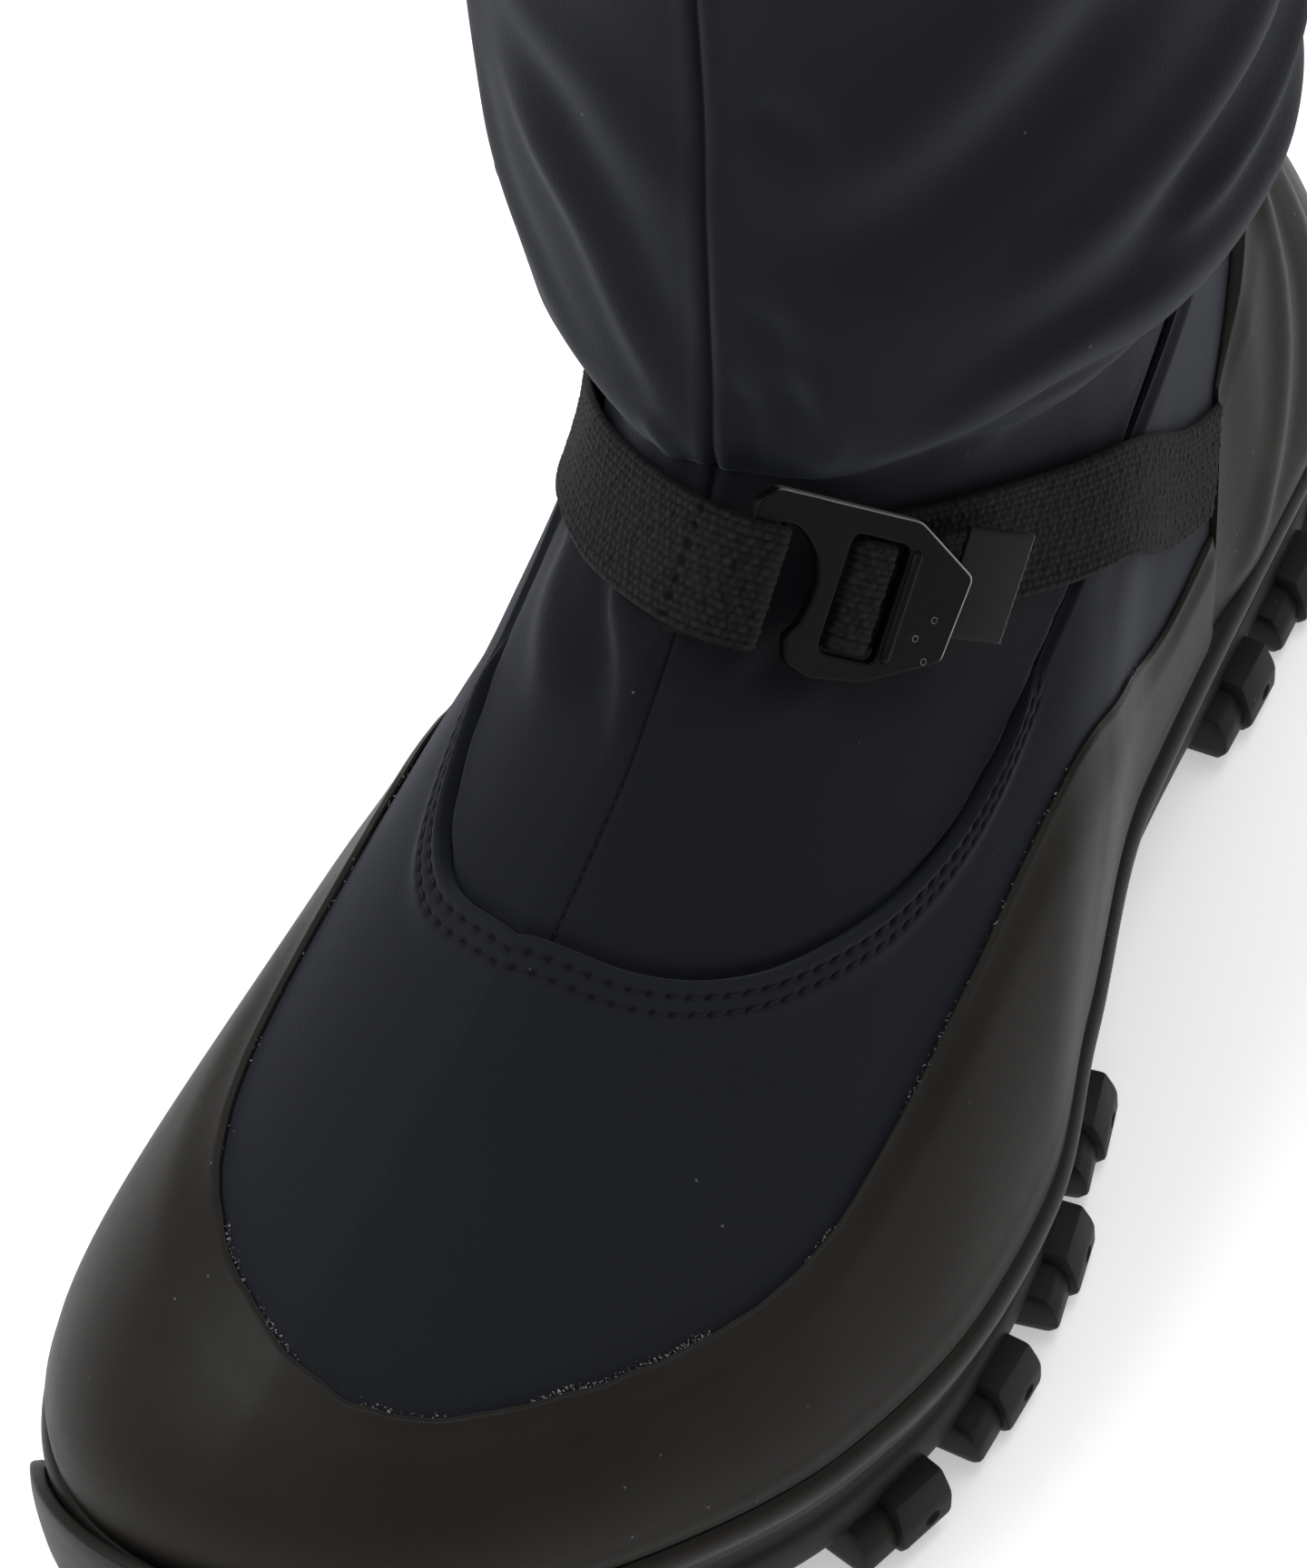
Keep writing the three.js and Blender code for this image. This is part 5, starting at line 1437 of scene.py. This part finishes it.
def plate():
    w, h = SLOT_W / 2, SLOT_H / 2
    hole = np.array([(SLOT_X - w, -h), (SLOT_X - w, h), (SLOT_X + w, h), (SLOT_X + w, -h)])
    loops = [softened(OUTLINE[::-1], 1.0), softened(hole, 1.5)]
    if np.cross(np.roll(loops[0], -1, 0), loops[0]).sum() > 0:
        loops[0] = loops[0][::-1]
    rim = [(.5, 0, 0), (.3, 0, .2), (.1, .1, .5), (0, .32, .75), (0, PLATE[2] - .3, .8),
           (.06, PLATE[2] - .12, 1), (.2, PLATE[2] - .02, 1),
           (.34, PLATE[2], .45), (.55, PLATE[2], .0)]
    points, faces, wear, work = [], [], [], bmesh.new()
    caps = [[], []]
    for rim_of, loop in enumerate(loops):
        n = len(loop)
        levels = []
        for distance, z, worn in rim:
            p = inset(loop, distance)
            levels.append([work.verts.new(q) for q in ((on_plate(p[:, 0], p[:, 1], z) - SHIFT) / 1000)])
            # The rim's edges carry worn bare metal, weighted towards the top and the right: real wear, with a
            # painted highlight on those two edges.
            run = unit(np.roll(p, -1, 0) - np.roll(p, 1, 0))
            edge_wear_and_highlight = np.clip(.35 - .6 * run[:, 0] + .65 * run[:, 1], 0, 1) if rim_of == 0 else np.full(n, .1)
            wear += list(worn * edge_wear_and_highlight)
        for low, high in zip(levels[:-1], levels[1:]):
            for i in range(n):
                work.faces.new((low[i], low[(i + 1) % n], high[(i + 1) % n], high[i]))
        for cap, ring_of in zip(caps, (levels[0], levels[-1])):
            cap += [work.edges.get((ring_of[i], ring_of[(i + 1) % n])) for i in range(n)]
    for cap in caps:
        bmesh.ops.triangle_fill(work, use_beauty=True, edges=cap)
    # The bar beside the slot: a rounded ridge.
    bar_x, grid = SLOT_X + SLOT_W / 2 + 1.2, []
    for y in np.concatenate([[-8.1, -7.95, -7.6], np.linspace(-7, 7, 9), [7.6, 7.95, 8.1]]):
        end = math.sqrt(max(0, 1 - (max(0, abs(y) - 7) / 1.12) ** 2))
        grid.append([work.verts.new((on_plate(bar_x + .85 * math.cos(a) * max(end, .15), y,
                                              PLATE[2] - .4 + 1.15 * math.sin(a) * max(end, .1))
                                     - SHIFT) / 1000)
                     for a in np.linspace(0, math.pi, 9)])
        wear += [.05, .1, .15, .25, .2, .1, .05, .05, .05]
    for g, h in zip(grid[:-1], grid[1:]):
        for i in range(8):
            work.faces.new((g[i], g[i + 1], h[i + 1], h[i]))
        work.faces.new((g[8], g[0], h[0], h[8]))
    work.faces.new(grid[0])
    work.faces.new(grid[-1][::-1])
    # Three small nicks near the lateral edge, each a tiny ring thrown up by a knock.
    for x, y in ((15.2, -.6), (13.2, -3.6), (15.6, -6.4)):
        turns_of = np.linspace(0, 2 * np.pi, 9)[:-1]
        rings_of = [[work.verts.new((on_plate(x + r * math.cos(a), y + r * math.sin(a), PLATE[2] + z)
                                     - SHIFT) / 1000) for a in turns_of]
                    for r, z in ((.62, -.05), (.45, .09), (.25, -.02))]
        wear += [.1] * 8 + [.75] * 8 + [.1] * 8
        for low, high in zip(rings_of[:-1], rings_of[1:]):
            for i in range(8):
                work.faces.new((low[i], low[(i + 1) % 8], high[(i + 1) % 8], high[i]))
        work.faces.new(rings_of[-1])
        work.faces.new(rings_of[0][::-1])
    bmesh.ops.recalc_face_normals(work, faces=work.faces)
    mesh = bpy.data.meshes.new("buckle_plate")
    work.to_mesh(mesh)
    work.free()
    mesh.polygons.foreach_set("use_smooth", [True] * len(mesh.polygons))
    mesh.set_sharp_from_angle(angle=math.radians(38))
    mark(mesh, "wear", wear)
    made = linked("buckle_plate", mesh)
    made.data.materials.append(black_metal)
    return made


buckle = plate()
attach(buckle, "root")
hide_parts("hook_buckle")
print("buckle:", len(buckle.data.polygons), "faces")

# %% [markdown]
# ## Stitches
# A stitch repeats along a path, which is what Geometry Nodes are best at: the path's points become a
# curve, the curve is resampled evenly, and each new point gets one thread. The thread lies along the
# path and faces out, because its turn is made from the curve's tangent and the stored normal `out`.

# %% Stitch tree
def stitch_tree():
    tree, start, end = new_tree("stitches", Count="Int", Length="Float", Thick="Float", Slant="Float",
                                Material="Material")
    path = add_node(tree, "GeometryNodeMeshToCurve", links={0: start.outputs["Geometry"]})
    evenly = add_node(tree, "GeometryNodeResampleCurve", {"mode": "COUNT"},
                      {"Curve": path.outputs[0], "Count": start.outputs["Count"]})
    along = add_node(tree, "GeometryNodeInputTangent")
    out = add_node(tree, "GeometryNodeInputNamedAttribute", {"data_type": "FLOAT_VECTOR"}, {"Name": "out"})
    aim = add_node(tree, "FunctionNodeAxesToRotation", {"primary_axis": "X", "secondary_axis": "Z"},
                   {0: along.outputs[0], 1: out.outputs[0]})
    lean = add_node(tree, "ShaderNodeCombineXYZ", links={"Z": start.outputs["Slant"]})
    turn = add_node(tree, "FunctionNodeRotateRotation", {"rotation_space": "LOCAL"},
                    {0: aim.outputs[0], 1: add_node(tree, "FunctionNodeEulerToRotation",
                                                    links={0: lean.outputs[0]}).outputs[0]})
    size = add_node(tree, "ShaderNodeCombineXYZ",
                    links={"X": start.outputs["Length"], "Y": start.outputs["Thick"],
                           "Z": start.outputs["Thick"]})
    loop = add_node(tree, "GeometryNodeMeshUVSphere", links={"Segments": 10, "Rings": 6, "Radius": .5})
    soft = add_node(tree, "GeometryNodeSetShadeSmooth", links={0: loop.outputs["Mesh"]})
    put = add_node(tree, "GeometryNodeInstanceOnPoints",
                   links={"Points": evenly.outputs[0], "Instance": soft.outputs[0],
                          "Rotation": turn.outputs[0],
                          "Scale": size.outputs[0]})
    return finish_tree(tree, start, end, put.outputs[0])


def sewn(name, u, w, lift, pitch, thick, material, node, slant=.16, fill=.84, count=None):
    """A row of stitches along a line on the form."""
    places, out = form(u, w), slopes(u, w)[2]
    places = places + out * np.broadcast_to(lift, u.shape)[:, None]
    length = np.linalg.norm(np.diff(places, axis=0), axis=1).sum()
    count = (count or round(length / pitch)) + 1
    source = path_object(name + "_path", places)
    facing = source.data.attributes.new("out", "FLOAT_VECTOR", "POINT")
    facing.data.foreach_set("vector", out.astype(np.float32).ravel())
    made = grown(name, source, stitch_tree(), Count=count, Length=length / (count - 1) * fill / 1000,
                 Thick=thick / 1000, Slant=slant, Material=material)
    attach(made, "root")
    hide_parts(node)
    print(name, "has", count, "stitches at", round(length / (count - 1), 2), "mm")
    return made


# %% Throat and seam stitches
for place, distance, count in zip(("upper", "lower"), STITCH_ROWS, row_counts):
    sewn("throat_stitches_" + place, fine_u, beside_throat(fine_u, distance),
         throat_lift(fine_u, distance) + needle(fine_u, distance) - .2, PITCH, .46, thread, "upper",
         count=count, fill=.74)
seam_w = np.linspace(.655, .83, 160)
sewn("seam_stitches", seam_u(seam_w), seam_w, tucked(seam_u(seam_w), seam_w) - .32, 1.8, .36, thread,
     "shaft", slant=.0, fill=.7)

# %% [markdown]
# ## Hem stitches
# One even row holds the hem at the collar, just above the lower edge of its turned band.

# %% Hem stitches
hem_u = np.linspace(0, 1, 700)
sewn("hem_stitches", hem_u, np.full(700, 2 - (HEM - 1.9) / SHAFT_RISE), 1.0, 3.0, .5, thread, "shaft",
     slant=.08)

# %% [markdown]
# ## Glue along the rand's edge
# Where the rand was stuck to the cloth, a little cement stayed on its edge and dried to pale crumbs.
# They follow the edge but don't repeat evenly, so this tree drops many points on the path, keeps the
# share that the attribute `chance` allows, and gives each crumb its own turn and size from a seed.

# %% Glue crumbs
def crumb_tree():
    tree, start, end = new_tree("crumbs", Count="Int", Size="Float", Seed="Int", Material="Material")
    path = add_node(tree, "GeometryNodeMeshToCurve", links={0: start.outputs["Geometry"]})
    evenly = add_node(tree, "GeometryNodeResampleCurve", {"mode": "COUNT"},
                      {"Curve": path.outputs[0], "Count": start.outputs["Count"]})
    points = add_node(tree, "GeometryNodeCurveToPoints", {"mode": "EVALUATED"}, {0: evenly.outputs[0]})
    chance = add_node(tree, "GeometryNodeInputNamedAttribute", {"data_type": "FLOAT"}, {"Name": "chance"})
    dice = add_node(tree, "FunctionNodeRandomValue", {"data_type": "FLOAT"},
                    {"Seed": start.outputs["Seed"]})
    drop = add_node(tree, "FunctionNodeCompare", {"data_type": "FLOAT", "operation": "GREATER_THAN"},
                    {0: dice.outputs[1], 1: chance.outputs[0]})
    kept = add_node(tree, "GeometryNodeDeleteGeometry", {"domain": "POINT"},
                    {0: points.outputs[0], 1: drop.outputs[0]})
    offset = add_node(tree, "FunctionNodeRandomValue", {"data_type": "FLOAT_VECTOR"},
                      {0: (-.00035, -.00035, -.0002), 1: (.00035, .00035, .0002),
                       "Seed": start.outputs["Seed"]})
    moved = add_node(tree, "GeometryNodeSetPosition",
                     links={0: kept.outputs[0], "Offset": offset.outputs[0]})
    turn = add_node(tree, "FunctionNodeRandomValue", {"data_type": "FLOAT_VECTOR"},
                    {0: (0, 0, 0), 1: (6.3, 6.3, 6.3), "Seed": 3})
    scale = add_node(tree, "FunctionNodeRandomValue", {"data_type": "FLOAT_VECTOR"},
                     {0: (.4, .25, .15), 1: (1.7, .8, .5), "Seed": 4})
    crumb = add_node(tree, "GeometryNodeMeshIcoSphere",
                     links={"Radius": start.outputs["Size"], "Subdivisions": 1})
    aim = add_node(tree, "FunctionNodeEulerToRotation", links={0: turn.outputs[0]})
    put = add_node(tree, "GeometryNodeInstanceOnPoints",
                   links={"Points": moved.outputs[0], "Instance": crumb.outputs["Mesh"],
                          "Rotation": aim.outputs[0],
                          "Scale": scale.outputs[0]})
    return finish_tree(tree, start, end, put.outputs[0])


def crumbs(name, u, w, lift, chance, count, size, seed):
    places = shell(u, w, np.full(u.shape, lift))
    source = path_object(name + "_path", places)
    mark(source.data, "chance", chance)
    made = grown(name, source, crumb_tree(), Count=count, Size=size / 1000, Seed=seed, Material=glue)
    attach(made, "root")
    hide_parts("rand")
    print(name, "has", len(made.data.polygons) // 20, "crumbs")
    return made


edge_u = np.linspace(.2, .8, 1500)
edge_w = rand_soft(edge_u) + np.interp(edge_u, rand_u, trim)
per_w = 1 / np.linalg.norm(slopes(edge_u, edge_w)[1], axis=-1)
# Glue is thickest around the toe and comes in runs: a few slow waves multiplied give the runs.
runs = np.clip(np.sin(edge_u * 61) * np.sin(edge_u * 143 + 1) * np.sin(edge_u * 23 + 2) * 2.2 + .25, 0, 1)
toe = np.exp(-((edge_u - .45) / .1) ** 2)
crumbs("glue_crumbs", edge_u, edge_w + .25 * per_w, .35, np.clip(runs * (.2 + .75 * toe), 0, .9), 2600, .21,
       11)
crumbs("glue_dust", edge_u, edge_w + .8 * per_w, .12, np.clip(runs * (.05 + .2 * toe), 0, .5), 1600, .13,
       12)

# %% [markdown]
# ## Insole
# The insole's shape is right as the maker's model has it, so it stays and only gets a better finish:
# a grey felt, soft and matt, with short fibres that show as fine mottling.

# %% Insole finish
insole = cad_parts["insole"]
insole.data.materials.clear()
insole.data.materials.append(fleece)
print("insole:", len(insole.data.polygons), "faces")

# %% [markdown]
# ## Floor, light and camera
# A pale floor that fades into a white surround, and two wide soft lamps, one from the left and one
# overhead: black rubber and dark cloth show their form only through what they reflect, so the lamps
# are large and the surround is bright.

# %% Floor
stage = bmesh.new()
bmesh.ops.create_grid(stage, x_segments=1, y_segments=1, size=3)
floor_mesh = bpy.data.meshes.new("floor")
stage.to_mesh(floor_mesh)
stage.free()
floor = linked("floor", floor_mesh)
floor.data.materials.append(Finish("floor_paper", Base_Color=(.93, .925, .925, 1), Roughness=.85,
                                   Emission_Color=(1, .99, .99, 1), Emission_Strength=.42).material)

# %% World and lamps
world = bpy.data.worlds.new("surround")
world.use_nodes = True
world.node_tree.nodes["Background"].inputs["Color"].default_value = (1, 1, 1, 1)
world.node_tree.nodes["Background"].inputs["Strength"].default_value = .45
bpy.context.scene.world = world
bpy.context.scene.view_settings.view_transform = "Standard"
for name, place, size, power in (("key", (-.75, -.5, 1.3), 1.1, 13), ("overhead", (.2, .5, 1.6), 1.2, 9)):
    lamp = bpy.data.lights.new(name, "AREA")
    lamp.shape, lamp.size, lamp.energy = "DISK", size, power
    holder = bpy.data.objects.new(name, lamp)
    holder.location = place
    holder.rotation_euler = (Vector((0, 0, .1)) - Vector(place)).to_track_quat("-Z", "Y").to_euler()
    bpy.context.collection.objects.link(holder)

# %% Camera
azimuth, elevation, roll, distance = math.radians(30), math.radians(50.4), math.radians(-7), 1.3
right = Vector((math.cos(azimuth), math.sin(azimuth), 0))
back = Vector((math.sin(azimuth) * math.cos(elevation), -math.cos(azimuth) * math.cos(elevation),
               math.sin(elevation)))
up = back.cross(right)
right, up = right * math.cos(roll) + up * math.sin(roll), up * math.cos(roll) - right * math.sin(roll)
target = (Vector((-.7, -31, 90)) - Vector(SHIFT)) / 1000
eye = target + back * distance
lens = bpy.data.cameras.new("camera")
lens.sensor_fit, lens.sensor_width, lens.lens = "AUTO", 36, 10635 / 48
lens.clip_end = 20
camera = bpy.data.objects.new("camera", lens)
camera.matrix_world = Matrix(((right.x, up.x, back.x, eye.x), (right.y, up.y, back.y, eye.y),
                              (right.z, up.z, back.z, eye.z), (0, 0, 0, 1)))
bpy.context.collection.objects.link(camera)
bpy.context.scene.camera = camera
